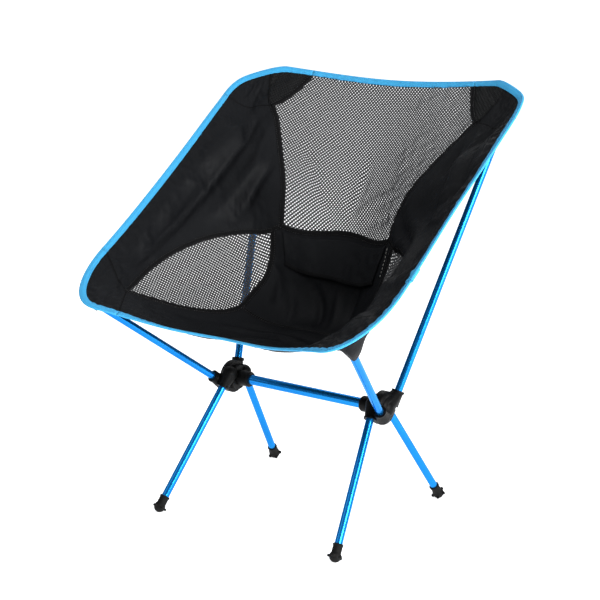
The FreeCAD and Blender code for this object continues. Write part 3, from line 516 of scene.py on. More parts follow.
# Folds added to the draped cloth: a run in (u, v), height in mm towards the sitter, half width.
FOLDS = [
    # right wing
    ([(-0.437, 0.883), (-0.628, 0.758), (-0.779, 0.527), (-0.829, 0.384), (-0.833, 0.256),
      (-0.80, 0.168)], -11.0, 10.0),
    ([(-0.50, 0.90), (-0.70, 0.76), (-0.86, 0.55), (-0.91, 0.38), (-0.90, 0.25)], 6.0, 13.0),
    ([(-0.375, 0.866), (-0.477, 0.769), (-0.644, 0.57), (-0.74, 0.42)], 8.0, 12.0),
    ([(-0.366, 0.785), (-0.489, 0.684), (-0.599, 0.532), (-0.64, 0.47)], -8.0, 9.0),
    # left wing, with one deep fold that rolls over the side mesh
    ([(0.80, 0.84), (0.90, 0.66), (0.93, 0.45), (0.89, 0.28), (0.81, 0.18)], 4.5, 8.0),
    ([(0.66, 0.86), (0.80, 0.66), (0.86, 0.47), (0.85, 0.30), (0.78, 0.17)], -6.0, 8.0),
    ([(0.52, 0.88), (0.70, 0.68), (0.77, 0.52), (0.79, 0.40)], 6.0, 9.0),
    ([(0.42, 0.86), (0.56, 0.72), (0.63, 0.62)], -5.0, 8.0),
    ([(0.73, 0.06), (0.80, 0.21), (0.80, 0.31), (0.755, 0.41), (0.66, 0.50), (0.54, 0.585),
      (0.44, 0.67), (0.385, 0.77)], 13.0, 18.0),
    ([(0.66, 0.43), (0.60, 0.49), (0.50, 0.555), (0.40, 0.615), (0.35, 0.68)], 11.0, 13.0),
    ([(0.66, 0.18), (0.66, 0.30), (0.58, 0.41), (0.47, 0.50)], -7.0, 10.0),
    # front band
    ([(-0.44, 0.205), (-0.288, 0.288), (0.0, 0.295), (0.25, 0.262), (0.46, 0.205)], 5.5, 9.0),
    ([(-0.40, 0.25), (-0.27, 0.325), (0.0, 0.335), (0.27, 0.318), (0.42, 0.25)], -4.0, 9.0),
    ([(-0.52, 0.17), (-0.42, 0.23), (-0.31, 0.30)], -3.0, 8.0),
    # seat
    ([(-0.375, 0.535), (-0.316, 0.512), (-0.31, 0.44)], -5.0, 7.0),
    ([(-0.26, 0.52), (-0.20, 0.46), (-0.18, 0.41)], 4.5, 8.0),
    ([(-0.148, 0.542), (-0.06, 0.509), (0.0, 0.45), (0.02, 0.41)], -6.0, 7.0),
    ([(0.04, 0.53), (0.10, 0.47), (0.13, 0.42)], 5.0, 8.0),
    ([(0.209, 0.536), (0.19, 0.493), (0.239, 0.41)], -6.0, 7.0),
    ([(-0.20, 0.385), (0.0, 0.40), (0.18, 0.385)], -2.5, 7.0),
    # lower back
    ([(-0.225, 0.83), (-0.184, 0.748), (-0.147, 0.695), (-0.075, 0.635)], -7.0, 9.0),
    ([(-0.11, 0.79), (-0.066, 0.693), (-0.030, 0.64)], 5.5, 9.0),
    ([(0.006, 0.82), (0.007, 0.734), (0.005, 0.65)], -6.0, 8.0),
    ([(0.03, 0.65), (0.10, 0.70), (0.22, 0.74)], 4.5, 9.0),
    ([(0.08, 0.645), (0.16, 0.665), (0.28, 0.68)], -4.0, 8.0),
]
DRAPE = {"columns": 101, "rows": 101, "cap": 3.0}


def folds(uv):
    """How far the added folds lift the sling, in mm."""
    points = sling(uv)
    lift = np.zeros(len(points))
    for run, height, width in FOLDS:
        far, share = nearest(points, sling(curve(run, 24)))
        taper = np.sin(np.pi * np.clip(share, 0.02, 0.98)) ** 0.7
        lift += height * taper * np.exp(-(far / (width * (0.5 + 0.5 * taper))) ** 2)
    return lift


def edge_room(uv):
    """Distance in mm from each point to the seat's edge, and 0 outside it."""
    outline = np.array([rim_at(q) for q in np.linspace(0, 10, 241)])
    line = sling(outline)
    far, _ = nearest(sling(uv), line)
    u, v = np.abs(uv[:, 0]), uv[:, 1]
    outside = np.zeros(len(uv), bool)
    mid_u, mid_v, wide, long_ = FRONT_CORNER
    low = (u > mid_u) & (v < mid_v)
    outside |= low & (((u - mid_u) / wide) ** 2 + ((v - mid_v) / long_) ** 2 > 1)
    far_u, far_v, far_wide, far_long = BACK_CORNER
    high = (u > far_u) & (v > far_v)
    outside |= high & (((u - far_u) / far_wide) ** 2 + ((v - far_v) / far_long) ** 2 > 1)
    far[outside] = 0
    return far


def drape():
    """Cloth simulation of the whole sling, a little oversize, held at its edge.
    Gives each grid point's move from the smooth surface, in mm."""
    columns, rows = DRAPE["columns"], DRAPE["rows"]
    u, v = np.meshgrid(np.linspace(-1, 1, columns), np.linspace(0, 1, rows), indexing="ij")
    uv = np.stack([u.ravel(), v.ravel()], 1)
    room = edge_room(uv)
    slack = np.clip((room - 4) / 22, 0, 1)
    pressed = normals(uv) * (folds(uv) * slack)[:, None]
    wander = np.random.default_rng(7).normal(0, 0.35, len(uv))
    start = sling(uv) + normals(uv) * (wander * slack)[:, None]
    faces = [(i * rows + j, (i + 1) * rows + j, (i + 1) * rows + j + 1, i * rows + j + 1)
             for i in range(columns - 1) for j in range(rows - 1)]
    data = bpy.data.meshes.new("drape")
    data.from_pydata((start * MM).tolist(), [], faces)
    piece = bpy.data.objects.new("drape", data)
    bpy.context.scene.collection.objects.link(piece)
    held = piece.vertex_groups.new(name="held")
    for k, value in enumerate(slack):
        weight = 1.0 - min(1.0, 1.6 * value)
        if weight > 0:
            held.add([k], weight, "REPLACE")
    cloth = piece.modifiers.new("cloth", "CLOTH")
    settings = cloth.settings
    settings.quality = 5
    settings.mass = 0.0002
    settings.tension_stiffness = 20
    settings.compression_stiffness = 8
    settings.shear_stiffness = 4
    settings.bending_stiffness = 3.0
    settings.tension_damping = settings.compression_damping = settings.shear_damping = 8
    settings.bending_damping = 2
    settings.air_damping = 4
    settings.shrink_min = -0.022
    settings.vertex_group_mass = "held"
    settings.pin_stiffness = 1.0
    cloth.collision_settings.use_collision = False
    scene = bpy.context.scene
    for step in range(1, 25):
        scene.frame_set(step)
    graph = bpy.context.evaluated_depsgraph_get()
    result = piece.evaluated_get(graph).data
    moved = np.empty(len(uv) * 3, np.float32)
    result.vertices.foreach_get("co", moved)
    moved = moved.reshape(-1, 3).astype(float) / MM - sling(uv)
    scene.frame_set(1)
    bpy.data.objects.remove(piece)
    length = np.linalg.norm(moved, axis=1, keepdims=True)
    cap = DRAPE["cap"]
    moved *= cap * np.tanh(length / cap) / np.maximum(length, 1e-6)
    moved *= np.clip(room / 12, 0, 1)[:, None]
    return (moved + pressed).reshape(columns, rows, 3)


def smooth_sample(field, uv):
    """Cubic interpolation of a grid of vectors at rows of (u, v)."""
    columns, rows = field.shape[:2]
    x = np.clip((uv[:, 0] + 1) / 2 * (columns - 1), 0, columns - 1.001)
    y = np.clip(uv[:, 1] * (rows - 1), 0, rows - 1.001)
    i, j = np.floor(x).astype(int), np.floor(y).astype(int)
    a, b = x - i, y - j
    total = 0.0
    for di, wi in zip((-1, 0, 1, 2), catmull(a)):
        for dj, wj in zip((-1, 0, 1, 2), catmull(b)):
            p = np.clip(i + di, 0, columns - 1)
            q = np.clip(j + dj, 0, rows - 1)
            total = total + field[p, q] * (wi * wj)[:, None]
    return total


def catmull(t):
    return (-0.5 * t + t ** 2 - 0.5 * t ** 3, 1 - 2.5 * t ** 2 + 1.5 * t ** 3,
            0.5 * t + 2 * t ** 2 - 1.5 * t ** 3, -0.5 * t ** 2 + 0.5 * t ** 3)


def cloth_at(uv, lift=0.0):
    """Points of the draped sling, raised by a height in mm towards the sitter."""
    uv = pairs(uv)
    lift = np.broadcast_to(np.asarray(lift, float), (len(uv),))
    return sling(uv) + smooth_sample(DRAPED, uv) + normals(uv) * lift[:, None]


# ---------------------------------------------------------------- mesh building

def add_mesh(name, points, faces, material, weave=None):
    """A mesh object from points in mm; weave holds a place in metres for every point."""
    data = bpy.data.meshes.new(name)
    data.from_pydata((np.asarray(points, float) * MM).tolist(), [], [tuple(f) for f in faces])
    data.polygons.foreach_set("use_smooth", [True] * len(data.polygons))
    if weave is not None:
        layer = data.uv_layers.new(name="weave")
        index = np.empty(len(data.loops), int)
        data.loops.foreach_get("vertex_index", index)
        layer.data.foreach_set("uv", np.asarray(weave, np.float32)[index].ravel())
    data.materials.append(material)
    data.update()
    piece = bpy.data.objects.new(name, data)
    bpy.context.scene.collection.objects.link(piece)
    return piece


def grid_faces(columns, rows, closed=False):
    faces = []
    for i in range(columns - 1):
        for j in range(rows if closed else rows - 1):
            k = (j + 1) % rows
            faces.append((i * rows + j, (i + 1) * rows + j, (i + 1) * rows + k, i * rows + k))
    return faces


def weave_places(points):
    """Places in metres along a net of points, measured over the cloth."""
    across = np.linalg.norm(np.diff(points, axis=0), axis=2).mean(1)
    along = np.linalg.norm(np.diff(points, axis=1), axis=2).mean(0)
    s = np.concatenate([[0], np.cumsum(across)]) * MM
    t = np.concatenate([[0], np.cumsum(along)]) * MM
    return np.stack(np.broadcast_arrays(s[:, None], t[None]), -1).reshape(-1, 2)


def panel(name, uv, material, lift=0.0):
    """A cloth panel over a net of (u, v)."""
    columns, rows = uv.shape[:2]
    points = cloth_at(uv.reshape(-1, 2), lift)
    piece = add_mesh(name, points, grid_faces(columns, rows), material,
                     weave_places(points.reshape(columns, rows, 3)))
    thick = piece.modifiers.new("thickness", "SOLIDIFY")
    thick.thickness = CLOTH_THICKNESS * MM
    thick.offset = 0.0
    declare_sheet(uv)
    return piece


def declare_sheet(uv):
    """Points of a panel's net on the smooth sling; they are worked out and not kept."""
    points = sling(uv.reshape(-1, 2)).reshape(*uv.shape[:2], 3) * MM


def sweep(name, uv, profile, material, lift=0.0):
    """A strip along a run of (u, v). The profile is (sideways, up) in mm and closes on itself."""
    up = normals(uv)
    run = unit(np.gradient(sling(uv), axis=0))
    side = unit(np.cross(up, run))
    rows = []
    for out, high in profile:
        shift = to_uv(uv, side * out)
        rows.append(cloth_at(uv + shift, lift) + up * high)
    return tube_mesh(name, np.stack(rows, 1), material)


def tube_mesh(name, points, material):
    """A closed strip from rings of points, capped at both ends."""
    columns, rows = points.shape[:2]
    faces = grid_faces(columns, rows, closed=True)
    faces.append(tuple(range(rows)))
    faces.append(tuple(reversed(range((columns - 1) * rows, columns * rows))))
    run, ring = reach_along(points.mean(1)) * MM, reach_along(points[0]) * MM
    places = np.stack(np.broadcast_arrays(run[:, None], ring[None]), -1).reshape(-1, 2)
    return add_mesh(name, points.reshape(-1, 3), faces, material, places)


def spaced(uv, step):
    """Points at even steps in mm along a run of (u, v)."""
    line = sling(uv)
    steps = reach_along(line)
    count = max(int(round(steps[-1] / step)), 2)
    t = np.linspace(0, steps[-1], count + 1)
    return np.stack([np.interp(t, steps, pairs(uv)[:, k]) for k in (0, 1)], 1)


def stitches(name, runs, material, length=2.6, gap=1.1, radius=0.28):
    """Thread stitches along runs of (u, v, height above the cloth in mm)."""
    points, faces = [], []
    ring = 5
    turn = np.arange(ring) * 2 * math.pi / ring
    for uv, height in runs:
        line = spaced(uv, length + gap)
        here = cloth_at(line, height)
        up = normals(line)
        for k in range(len(line) - 1):
            run = here[k + 1] - here[k]
            run = run * (length / (length + gap))
            side = np.cross(run / np.linalg.norm(run), up[k])
            stem = len(points)
            for share, size, sink in ((0, 0.45, -0.25), (0.2, 1, 0.05), (0.8, 1, 0.05),
                                      (1, 0.45, -0.25)):
                centre = here[k] + run * share + up[k] * sink
                for a in turn:
                    points.append(centre + (side * math.cos(a) + up[k] * math.sin(a))
                                  * radius * size)
            for i in range(3):
                for j in range(ring):
                    m = (j + 1) % ring
                    faces.append((stem + i * ring + j, stem + (i + 1) * ring + j,
                                  stem + (i + 1) * ring + m, stem + i * ring + m))
            faces.append(tuple(stem + j for j in range(ring)))
            faces.append(tuple(stem + 3 * ring + j for j in reversed(range(ring))))
    return add_mesh(name, points, faces, material)


# ---------------------------------------------------------------- open mesh

def plane_places(outline):
    """A plane fitted through an outline's cloth: a rule from places in mm on the plane, across
    and up, to (u, v), and the plane's reach."""
    low, high = outline.min(0) - 0.02, outline.max(0) + 0.02
    u, v = np.meshgrid(np.linspace(low[0], high[0], 30), np.linspace(low[1], high[1], 30))
    samples = np.stack([u.ravel(), np.clip(v.ravel(), 0, 1)], 1)
    samples = samples[inside(samples, outline)]
    points = sling(samples)
    home = points.mean(0)
    axes = np.linalg.eigh(np.cov((points - home).T))[1]
    across = slopes(samples.mean(0)[None])[0][0]
    across -= axes[:, 0] * (across @ axes[:, 0])
    across /= np.linalg.norm(across)
    up = np.cross(axes[:, 0], across)
    up *= np.sign(up @ slopes(samples.mean(0)[None])[1][0])
    frame_axes = np.stack([across, up], 1)

    def terms(st):
        x, y = (st / 100.0).T
        return np.stack([x ** 0, x, y, x * x, x * y, y * y, x ** 3, x * x * y, x * y * y,
                         y ** 3], 1)

    flat = (points - home) @ frame_axes
    fit = np.linalg.lstsq(terms(flat), samples, rcond=None)[0]

    def place(st):
        uv = terms(st) @ fit
        for _ in range(5):
            missing = st - (sling(uv) - home) @ frame_axes
            uv = uv + np.clip(to_uv(uv, missing @ frame_axes.T), -0.05, 0.05)
        return uv

    return place, np.abs(flat).max()


def lattice(name, outline, cell, opening, thickness, material, uv_net, lift=0.0):
    """Knitted mesh with a slanting lattice of openings, cut to an outline in (u, v).
    The cell is the two steps, in mm across and up, from one opening to the next."""
    outline = np.asarray(outline, float)
    a, b = np.array(cell[0]), np.array(cell[1])
    place, reach = plane_places(outline)
    reach += 6.0
    count = int(1.5 * reach / min(np.linalg.norm(a), np.linalg.norm(b))) + 3
    p, q = np.meshgrid(np.arange(-count, count), np.arange(-count, count), indexing="ij")
    centres = p[..., None] * a + q[..., None] * b
    flat = centres.reshape(-1, 2)
    near = np.abs(flat).max(1) < reach
    keep = np.zeros(len(flat), bool)
    keep[near] = inside(place(flat[near]), outline)
    keep = keep.reshape(p.shape)
    r, c = opening
    corners = [(r, -c), (r, c), (c, r), (-c, r), (-r, c), (-r, -c), (-c, -r), (c, -r)]
    index = -np.ones(p.shape, int)
    index[keep] = np.arange(keep.sum())
    base = centres[keep]
    holes = np.stack([base + s * a + t * b for s, t in corners], 1).reshape(-1, 2)
    uv = place(holes)
    half = thickness / 2
    top = cloth_at(uv, lift + half)
    low = cloth_at(uv, lift - half)
    total = len(holes)
    faces = []
    for i, j in zip(*np.nonzero(keep)):
        k = index[i, j] * 8
        right, up = index[i + 1, j], index[i, j + 1]
        cross = index[i + 1, j + 1]
        layer = []
        if right >= 0:
            m = right * 8
            layer.append((k, m + 5, m + 4, k + 1))
        if up >= 0:
            m = up * 8
            layer.append((k + 3, k + 2, m + 7, m + 6))
        if right >= 0 and up >= 0 and cross >= 0:
            x, y, z = right * 8, up * 8, cross * 8
            layer.append((k + 1, x + 4, x + 3, z + 6, z + 5, y, y + 7, k + 2))
        for face in layer:
            faces.append(face)
            faces.append(tuple(total + n for n in reversed(face)))
    walls = set()
    edges = {}
    for face in faces[::2]:
        for one, two in zip(face, face[1:] + face[:1]):
            edges[(one, two)] = True
    for one, two in edges:
        if (two, one) not in edges:
            walls.add((two, one, total + one, total + two))
    faces.extend(walls)
    piece = add_mesh(name, np.concatenate([top, low]), faces, material)
    used = np.zeros(total * 2, bool)
    for face in faces:
        used[list(face)] = True
    if not used.all():
        drop_loose(piece, used)
    declare_sheet(uv_net)
    return piece


def drop_loose(piece, used):
    work = bmesh.new()
    work.from_mesh(piece.data)
    work.verts.ensure_lookup_table()
    bmesh.ops.delete(work, geom=[work.verts[k] for k in np.nonzero(~used)[0]], context="VERTS")
    work.to_mesh(piece.data)
    work.free()


def inside(points, outline):
    """Even-odd test of points against a closed outline."""
    result = np.zeros(len(points), bool)
    x, y = points[:, 0], points[:, 1]
    for one, two in zip(outline, np.roll(outline, -1, axis=0)):
        if one[1] == two[1]:
            continue
        crosses = (one[1] > y) != (two[1] > y)
        place = one[0] + (y - one[1]) * (two[0] - one[0]) / (two[1] - one[1])
        result ^= crosses & (x < place)
    return result


# ---------------------------------------------------------------- the seat's pieces

def build_panels():
    """The woven panels. Left and right come from one net each."""
    inset = BINDING - 2.0
    front_rim = rim_inset(np.linspace(-FRONT_SEAM_END, FRONT_SEAM_END, 60), inset)
    window_low, band_seam = curve(WINDOW_LOW), curve(BAND_SEAM)
    band_top = np.concatenate([flip(window_low), band_seam[1:-1], window_low[::-1]])
    band_side = [front_rim[-1], FRONT_PATCH_TIP]
    uv = net(front_rim, band_top, flip(band_side), band_side, 150, 40)
    band = panel("front_band_cloth", uv, stuff["cloth"])
    ride_frame(band, "front_band")
    seat_side = np.concatenate([curve(WINDOW_REAR), [SEAT_CORNER]])
    seat_top = [flip(SEAT_CORNER), SEAT_CORNER]
    uv = net(band_seam, seat_top, flip(seat_side), seat_side, 90, 60)
    ride_frame(panel("seat_panel_cloth", uv, stuff["cloth"]), "seat_panel")
    for side_name, side in SIDES:
        outer = rim_inset(np.linspace(2.0, BACK_SEAM_START, 60), inset)
        inner = np.concatenate([[FRONT_PATCH_TIP], curve(WINDOW_TOP)[1:], curve(BACK_SIDE)])
        rear = np.concatenate([outer[-1:], curve(BACK_PATCH_SEAM)[::-1]])
        front = [outer[0], FRONT_PATCH_TIP]
        uv = net(outer, inner, front, rear, 130, 50) * (side, 1)
        wing = panel("wing_cloth_" + side_name, uv, stuff["cloth"])
        ride_frame(wing, "wing_" + side_name)


def ride_frame(piece, *nodes):
    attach(piece, "frame")
    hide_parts(*nodes)


def build_meshes():
    opening = (0.25, 0.14)
    top_run = rim_inset(np.linspace(BACK_SEAM_END, 10 - BACK_SEAM_END, 60), BINDING - 3)
    side = np.concatenate([curve(BACK_SIDE), curve(BACK_PATCH_ARC)[1:], top_run[:1]])
    outline = np.concatenate([flip(side), top_run[::-1], side[::-1]])
    low = [flip(SEAT_CORNER), SEAT_CORNER]
    uv = net(low, top_run[::-1], flip(side), side, 30, 30)
    piece = lattice("back_mesh_knit", outline, ((3.35, -2.9), (2.15, 3.15)), opening, 0.8,
                    stuff["mesh"], uv)
    ride_frame(piece, "back_mesh")
    for side_name, side in SIDES:
        low, top, rear = curve(WINDOW_LOW), curve(WINDOW_TOP), curve(WINDOW_REAR)
        outline = np.concatenate([low, rear[1:], top[::-1][1:]]) * (side, 1)
        uv = net(low[1:], top[1:], [low[1], top[1]], rear, 20, 10) * (side, 1)
        cell = ((-3.2 * side, 1.95), (2.45 * side, 3.75))
        piece = lattice("side_mesh_knit_" + side_name, outline, cell, (0.235, 0.13), 0.8,
                        stuff["mesh"], uv)
        ride_frame(piece, "side_mesh_" + side_name)


def band_profile(width, thick):
    """Outline of a flat strip: its edges thin out to nothing sharp."""
    half, rise = width / 2, thick / 2
    upper = [(-half, 0.15 * rise), (-half + 0.5, 0.75 * rise), (-half + 1.6, rise),
             (0, rise * 1.05), (half - 1.6, rise), (half - 0.5, 0.75 * rise),
             (half, 0.15 * rise)]
    return upper + [(x, -z) for x, z in reversed(upper)]


def build_tapes():
    """Seam tapes, one piece for each run, with a row of stitches along both edges."""
    wide, thick = TAPE_WIDTH, TAPE_THICKNESS
    runs = {"tape_back_low": [(-0.345, 0.6225), (0.0, 0.624), (0.345, 0.6225)],
            "tape_seat_front": BAND_SEAM}
    black = []
    for name, run in runs.items():
        uv = spaced(curve(run), STRIP_STEP)
        narrow = 7.0 if name == "tape_seat_front" else wide
        piece = sweep(name, uv, band_profile(narrow, thick), stuff["tape"])
        ride_slot(piece)
        black += edge_rows(uv, narrow, thick)
    for side_name, side in SIDES:
        top = curve(WINDOW_TOP)
        low = curve(WINDOW_LOW)
        rear = np.concatenate([curve(WINDOW_REAR), [SEAT_CORNER]])
        arc = np.concatenate([curve(BACK_PATCH_ARC), rim_inset([BACK_SEAM_END], BINDING + 2)])
        patch = np.concatenate([curve(BACK_PATCH_SEAM), rim_inset([BACK_SEAM_START], 9.0)])
        front = np.concatenate([rim_inset([FRONT_SEAM_END], 9.0), [FRONT_PATCH_TIP]])
        outer = np.concatenate([[FRONT_PATCH_TIP], rim_inset([2.0], 9.0)])
        for stem, run, size in (("tape_window_top_", top, wide), ("tape_window_low_", low, wide),
                                ("tape_window_rear_", rear, wide),
                                ("tape_back_side_", curve(BACK_SIDE), wide),
                                ("tape_back_arc_", arc, wide),
                                ("seam_back_patch_", patch, SEAM_WIDTH),
                                ("seam_front_patch_", front, SEAM_WIDTH),
                                ("seam_side_patch_", outer, SEAM_WIDTH)):
            uv = spaced(run * (side, 1), STRIP_STEP)
            tall = thick if size == wide else SEAM_THICKNESS
            raised = 1.1 if stem == "tape_back_arc_" else 0.0
            piece = sweep(stem + side_name, uv, band_profile(size, tall), stuff["tape"], raised)
            ride_slot(piece)
            if size == wide:
                black += edge_rows(uv, size, tall, raised)
    ride_slot(stitches("stitches_tapes", black, stuff["stitch_black"], radius=0.22))


def ride_slot(piece):
    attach(piece, "frame")


def edge_rows(uv, width, thick, raised=0.0):
    """Stitch rows 1.6 mm inside both edges of a tape, on both faces."""
    side = unit(np.cross(normals(uv), unit(np.gradient(sling(uv), axis=0))))
    rows = []
    for way in (-1, 1):
        shifted = uv + to_uv(uv, side * way * (width / 2 - 1.6))
        rows.append((shifted, raised + thick / 2))
        rows.append((shifted, raised - thick / 2))
    return rows


# The binding is a tape folded over the edge: (distance inside the edge, height) in mm.
BINDING_OUT = [(-0.9, 0.0), (-0.65, 0.85), (0.1, 1.5), (1.3, 1.85), (2.2, 1.55), (2.8, 1.85),
               (5.0, 2.0), (7.3, 1.75), (8.0, 1.4), (8.7, 1.6), (9.5, 1.45), (10.0, 1.1)]
BINDING_IN = [(9.7, 0.55), (7.0, 0.7), (4.0, 0.8), (1.5, 0.85), (0.2, 0.5), (-0.1, 0.0)]
BINDING_RING = (BINDING_OUT + BINDING_IN + [(d, -h) for d, h in BINDING_IN[-2::-1]]
                + [(d, -h) for d, h in BINDING_OUT[:0:-1]])
STITCH_LINES = ((2.2, 1.62), (8.0, 1.5))


def rim_points(q, distance, height):
    uv = rim_inset(q, distance)
    return cloth_at(uv) + normals(uv) * height


def build_binding(name, start, end, node_name):
    """One length of the blue edge binding between two places on the rim."""
    count = max(int(abs(end - start) * 44), 16)
    q = np.linspace(start, end, count + 1)
    points = np.stack([rim_points(q, d, h) for d, h in BINDING_RING], 1)
    piece = tube_mesh(name, points, stuff["binding"])
    line = rim_inset(q, 0.0)
    length = float(np.linalg.norm(np.diff(sling(line) * MM, axis=0), axis=1).sum())
    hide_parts(node_name)
    rows = []
    for distance, height in STITCH_LINES:
        run = rim_inset(q, distance)
        rows += [(run, height), (run, -height)]
    thread = stitches(name + "_stitches", rows, stuff["stitch_blue"], radius=0.27)
    return piece, thread


def build_lap():
    """Where the two ends of the binding meet on the left side, one is turned over the other."""
    q = np.linspace(2.076, 2.126, 10)
    points = np.stack([rim_points(q, d * 1.35 - 1.8, h * 1.6) for d, h in BINDING_RING], 1)
    ride_slot(tube_mesh("binding_lap", points, stuff["binding"]))


def build_bindings():
    build_lap()
    for name, start, end in (("binding_front", -FRONT_SEAM_END, FRONT_SEAM_END),
                             ("binding_top", BACK_SEAM_END, 10 - BACK_SEAM_END)):
        for piece in build_binding(name + "_fold", start, end, name):
            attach(piece, "frame")
    for side_name, side in SIDES:
        for stem, start, end in (("corner_front", FRONT_SEAM_END, 2.0),
                                 ("side", 2.0, BACK_SEAM_START),
                                 ("corner_back", BACK_SEAM_START, BACK_SEAM_END)):
            if side < 0:
                start, end = (-end, -start) if stem == "corner_front" else (10 - end, 10 - start)
            name = "binding_%s_%s" % (stem, side_name)
            if side < 0 and stem == "side":
                start, end = -3.0, -2.0
            for piece in build_binding(name + "_fold", start, end, name):
                if stem == "side":
                    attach(piece, "frame")
                else:
                    blend_corner(piece, stem, side_name)


def corner_planes(stem, side):
    """Where a corner starts to stretch and where it moves as one with its pocket."""
    if stem == "corner_front":
        ends = rim_inset([FRONT_SEAM_END, 2.0], 0.0) * (side, 1)
        tip = rim_inset([1.45], 18.0) * (side, 1)
    else:
        ends = rim_inset([BACK_SEAM_START, BACK_SEAM_END], 0.0) * (side, 1)
        tip = rim_inset([3.6], 22.0) * (side, 1)
    one, two = sling(ends)
    goal = sling(tip)[0]
    along = (two - one) / np.linalg.norm(two - one)
    foot = one + along * ((goal - one) @ along)
    return foot, goal


def blend_corner(piece, stem, side_name):
    """Bakes the corner's placement into its mesh. Where it meets the seat's seams and its pocket
    is worked out but not used.
    """
    side = 1.0 if side_name == "left" else -1.0
    start, goal = corner_planes(stem, side)
    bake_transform(piece)


def build_corners():
    inset = BINDING - 2.0
    for side_name, side in SIDES:
        front_rim = rim_inset(np.linspace(FRONT_SEAM_END, 1.5, 30), inset)
        side_rim = rim_inset(np.linspace(1.5, 2.0, 30), inset)
        uv = net(front_rim, [FRONT_PATCH_TIP, side_rim[-1]], [front_rim[0], FRONT_PATCH_TIP],
                 side_rim, 36, 36) * (side, 1)
        piece = panel("corner_front_cloth_" + side_name, uv, stuff["cloth"])
        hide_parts("corner_front_" + side_name)
        blend_corner(piece, "corner_front", side_name)
        side_rim = rim_inset(np.linspace(BACK_SEAM_START, 3.5, 30), inset)
        top_rim = rim_inset(np.linspace(3.5, BACK_SEAM_END, 30), inset)
        seam = curve(BACK_PATCH_SEAM)
        seam = np.concatenate([seam, side_rim[:1]])
        inner = np.concatenate([curve(BACK_PATCH_ARC), top_rim[-1:]])
        uv = net(seam, top_rim[::-1], inner, side_rim, 60, 36) * (side, 1)
        piece = panel("corner_back_cloth_" + side_name, uv, stuff["cloth"])
        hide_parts("corner_back_" + side_name)
        blend_corner(piece, "corner_back", side_name)


def build_insets():
    """Mesh laid over the inner part of each rear corner, up to an upright seam."""
    top = rim_inset(np.linspace(BACK_SEAM_END, 3.77, 20), BINDING - 2)
    arc = np.concatenate([curve(BACK_PATCH_ARC), top[:1]])
    foot = np.array(BACK_PATCH_SEAM[0]) + (0.02, 0.001)
    seam = at([foot, top[-1]], np.linspace(0, 1, 20))
    outline = np.concatenate([arc, top[1:], seam[::-1][1:]])
    places = net([arc[0], foot], top, arc, seam, 14, 14)
    for side_name, side in SIDES:
        cell = ((-3.35 * side, -2.9), (-2.15 * side, 3.15))
        piece = lattice("corner_inset_knit_" + side_name, outline * (side, 1), cell,
                        (0.25, 0.14), 0.5, stuff["inset"], places * (side, 1), INSET_LIFT)
        blend_corner(piece, "corner_back", side_name)
        strip = sweep("seam_inset_" + side_name, spaced(seam * (side, 1), STRIP_STEP),
                      band_profile(SEAM_WIDTH, SEAM_THICKNESS), stuff["tape"], INSET_LIFT)
        blend_corner(strip, "corner_back", side_name)


def build_pouch():
    """The flap over the rear of the seat: it bulges, and its lower edge is a turned hem."""
    low = curve([(-0.30, 0.555), (-0.15, 0.553), (0.03, 0.55), (0.18, 0.546), (0.30, 0.543)])
    high = [(-0.325, 0.612), (0.325, 0.612)]
    uv = net(low, high, [low[0], high[0]], [low[-1], high[-1]], 80, 30)
    columns, rows = uv.shape[:2]
    s = np.linspace(-1, 1, columns)[:, None]
    t = np.linspace(0, 1, rows)[None]
    filled = np.clip((s + 0.80) / 0.30, 0, 1)
    filled = filled * filled * (3 - 2 * filled) * (1 - np.clip(s, 0, 1) ** 8)
    swell = filled * (0.35 + 0.65 * np.cos(math.pi * 0.5 * t) ** 1.2)
    sag = 1 + 0.18 * np.sin(5.0 * s + 0.6) + 0.10 * np.sin(11.0 * s + 2.0)
    lift = 1.4 + 7.5 * swell * sag * (1 - t ** 5)
    piece = panel("seat_pouch_cloth", uv, stuff["cloth"], lift=lift.ravel())
    ride_frame(piece, "seat_pouch")
    edge = uv[:, 0]
    hem = sweep("seat_pouch_hem", edge, band_profile(7.0, 1.9), stuff["tape"],
                lift=lift[:, 0] + 0.4)
    ride_slot(hem)
    run = spaced(np.array([(0.341, 0.605), (0.352, 0.57), (0.358, 0.539)]), 4.0)
    pale = stitches("stitches_pouch_side", [(run, 1.5)], stuff["stitch_pale"], length=3.8,
                    gap=2.4, radius=0.5)
    ride_slot(pale)


POCKET = {"depth": 26.0, "ring": 9.0, "room": 3.5, "gap": 3.2, "inset": 5.0}


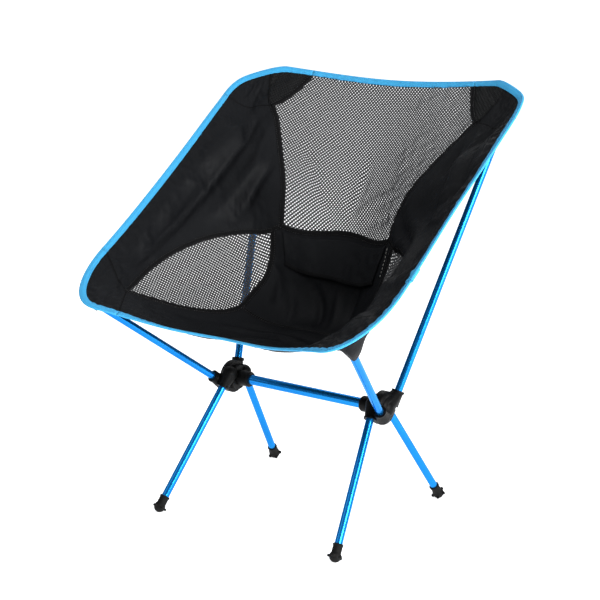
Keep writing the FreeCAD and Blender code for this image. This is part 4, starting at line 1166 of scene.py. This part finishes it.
def build_pocket(name, side, node_name, tip_node, start, end, stem, side_name):
    """A cloth pocket under one corner: sewn along the rim and open toward the pole."""
    tip_end, along = pole_tip(tip_node)
    ring = tip_end - along * POCKET["depth"]
    uv = rim_inset([(start + end) / 2], 20.0) * (side, 1)
    below = -normals(uv)[0]
    below -= along * (below @ along)
    below /= np.linalg.norm(below)
    under = ring + below * POCKET["ring"]
    round_tip = tip_end + along * POCKET["room"] + below * (POCKET["ring"] * 0.55)
    side_point = tip_end - along * 8.0 + below * POCKET["ring"]
    count, across = 60, 27
    q = np.linspace(start, end, count + 1)
    line = rim_inset(q, POCKET["inset"]) * (side, 1)
    edge = cloth_at(line) - normals(line) * POCKET["gap"]
    first, last, centre = edge[0], edge[-1], edge[count // 2]
    inward = under - (first + last) / 2
    inward = inward / np.linalg.norm(inward) * 1.5
    t = np.linspace(0, 1, count + 1)[:, None]
    swell = np.sin(np.pi * t) ** 2
    bottom = first + (last - first) * t + inward
    bottom = bottom + (under - (first + last) / 2 - inward) * swell
    waist = edge * 0.62 + bottom * 0.38
    waist += (round_tip - (centre * 0.62 + under * 0.38)) * swell ** 2
    belly = edge * 0.30 + bottom * 0.70
    belly += (side_point - (centre * 0.30 + under * 0.70)) * swell ** 2
    knots = np.stack([edge, waist, belly, bottom], 1)
    share = spline_weights(spline_table(4), np.linspace(0, 1, across))
    points = np.einsum("jk,nkc->njc", share, knots)
    ripple = np.sin(t * 23.0 + 1.0) * np.linspace(0, 1, across)[None] * 0.35
    out = unit(np.cross(np.gradient(points, axis=0).reshape(-1, 3),
                        np.gradient(points, axis=1).reshape(-1, 3))).reshape(points.shape)
    points = points + out * (ripple * np.sin(np.pi * t) ** 2)[..., None]
    piece = add_mesh(name, points.reshape(-1, 3), grid_faces(count + 1, across),
                     stuff["cloth"], weave_places(points))
    thick = piece.modifiers.new("thickness", "SOLIDIFY")
    thick.thickness, thick.offset = POCKET_THICKNESS * MM, 0.0
    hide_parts(node_name)
    blend_corner(piece, stem, side_name)


def pole_tip(tip_node):
    """The far end of a pole's ball tip and the pole's direction, in mm."""
    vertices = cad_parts[tip_node].data.vertices
    points = np.array([v.co for v in vertices], float) / MM
    centre = points.mean(0)
    values, axes = np.linalg.eigh(np.cov((points - centre).T))
    along = axes[:, values.argmax()]
    out = np.array((0.0, -1.0, 0.6)) if "front" in tip_node else np.array((0.0, 0.4, 0.9))
    along = along * np.sign(along @ out)
    reach = ((points - centre) @ along).max()
    return centre + along * reach, along


def build_pockets():
    for side_name, side in SIDES:
        build_pocket("pocket_front_cloth_" + side_name, side, "pocket_front_" + side_name,
                     "tip_front_" + side_name, 1.28, 1.66, "corner_front", side_name)
        build_pocket("pocket_back_cloth_" + side_name, side, "pocket_back_" + side_name,
                     "tip_back_" + side_name, 3.2, 4.15, "corner_back", side_name)


# ---------------------------------------------------------------- the frame's finishes

FINISHES = (("crossbar_cord", "elastic"), ("crossbar", "anodised"), ("hub", "nylon"),
            ("foot", "rubber"), ("tip", "nylon"), ("ferrule", "aluminium"))


def finish_nodes():
    for name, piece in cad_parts.items():
        found = [finish for stem, finish in FINISHES if name.startswith(stem)]
        if name.endswith("_cord") or "_cord_" in name:
            found = ["elastic"]
        elif name.startswith(("leg", "seat_pole", "back_pole")):
            found = ["anodised"]
        if found and not piece.hide_render:
            piece.data.materials.clear()
            piece.data.materials.append(stuff[found[0]])


add_camera()
stuff = make_materials()
add_studio()
DRAPED = drape()
build_panels()
build_meshes()
build_corners()
build_tapes()
build_bindings()
build_insets()
build_pouch()
build_pockets()
finish_nodes()
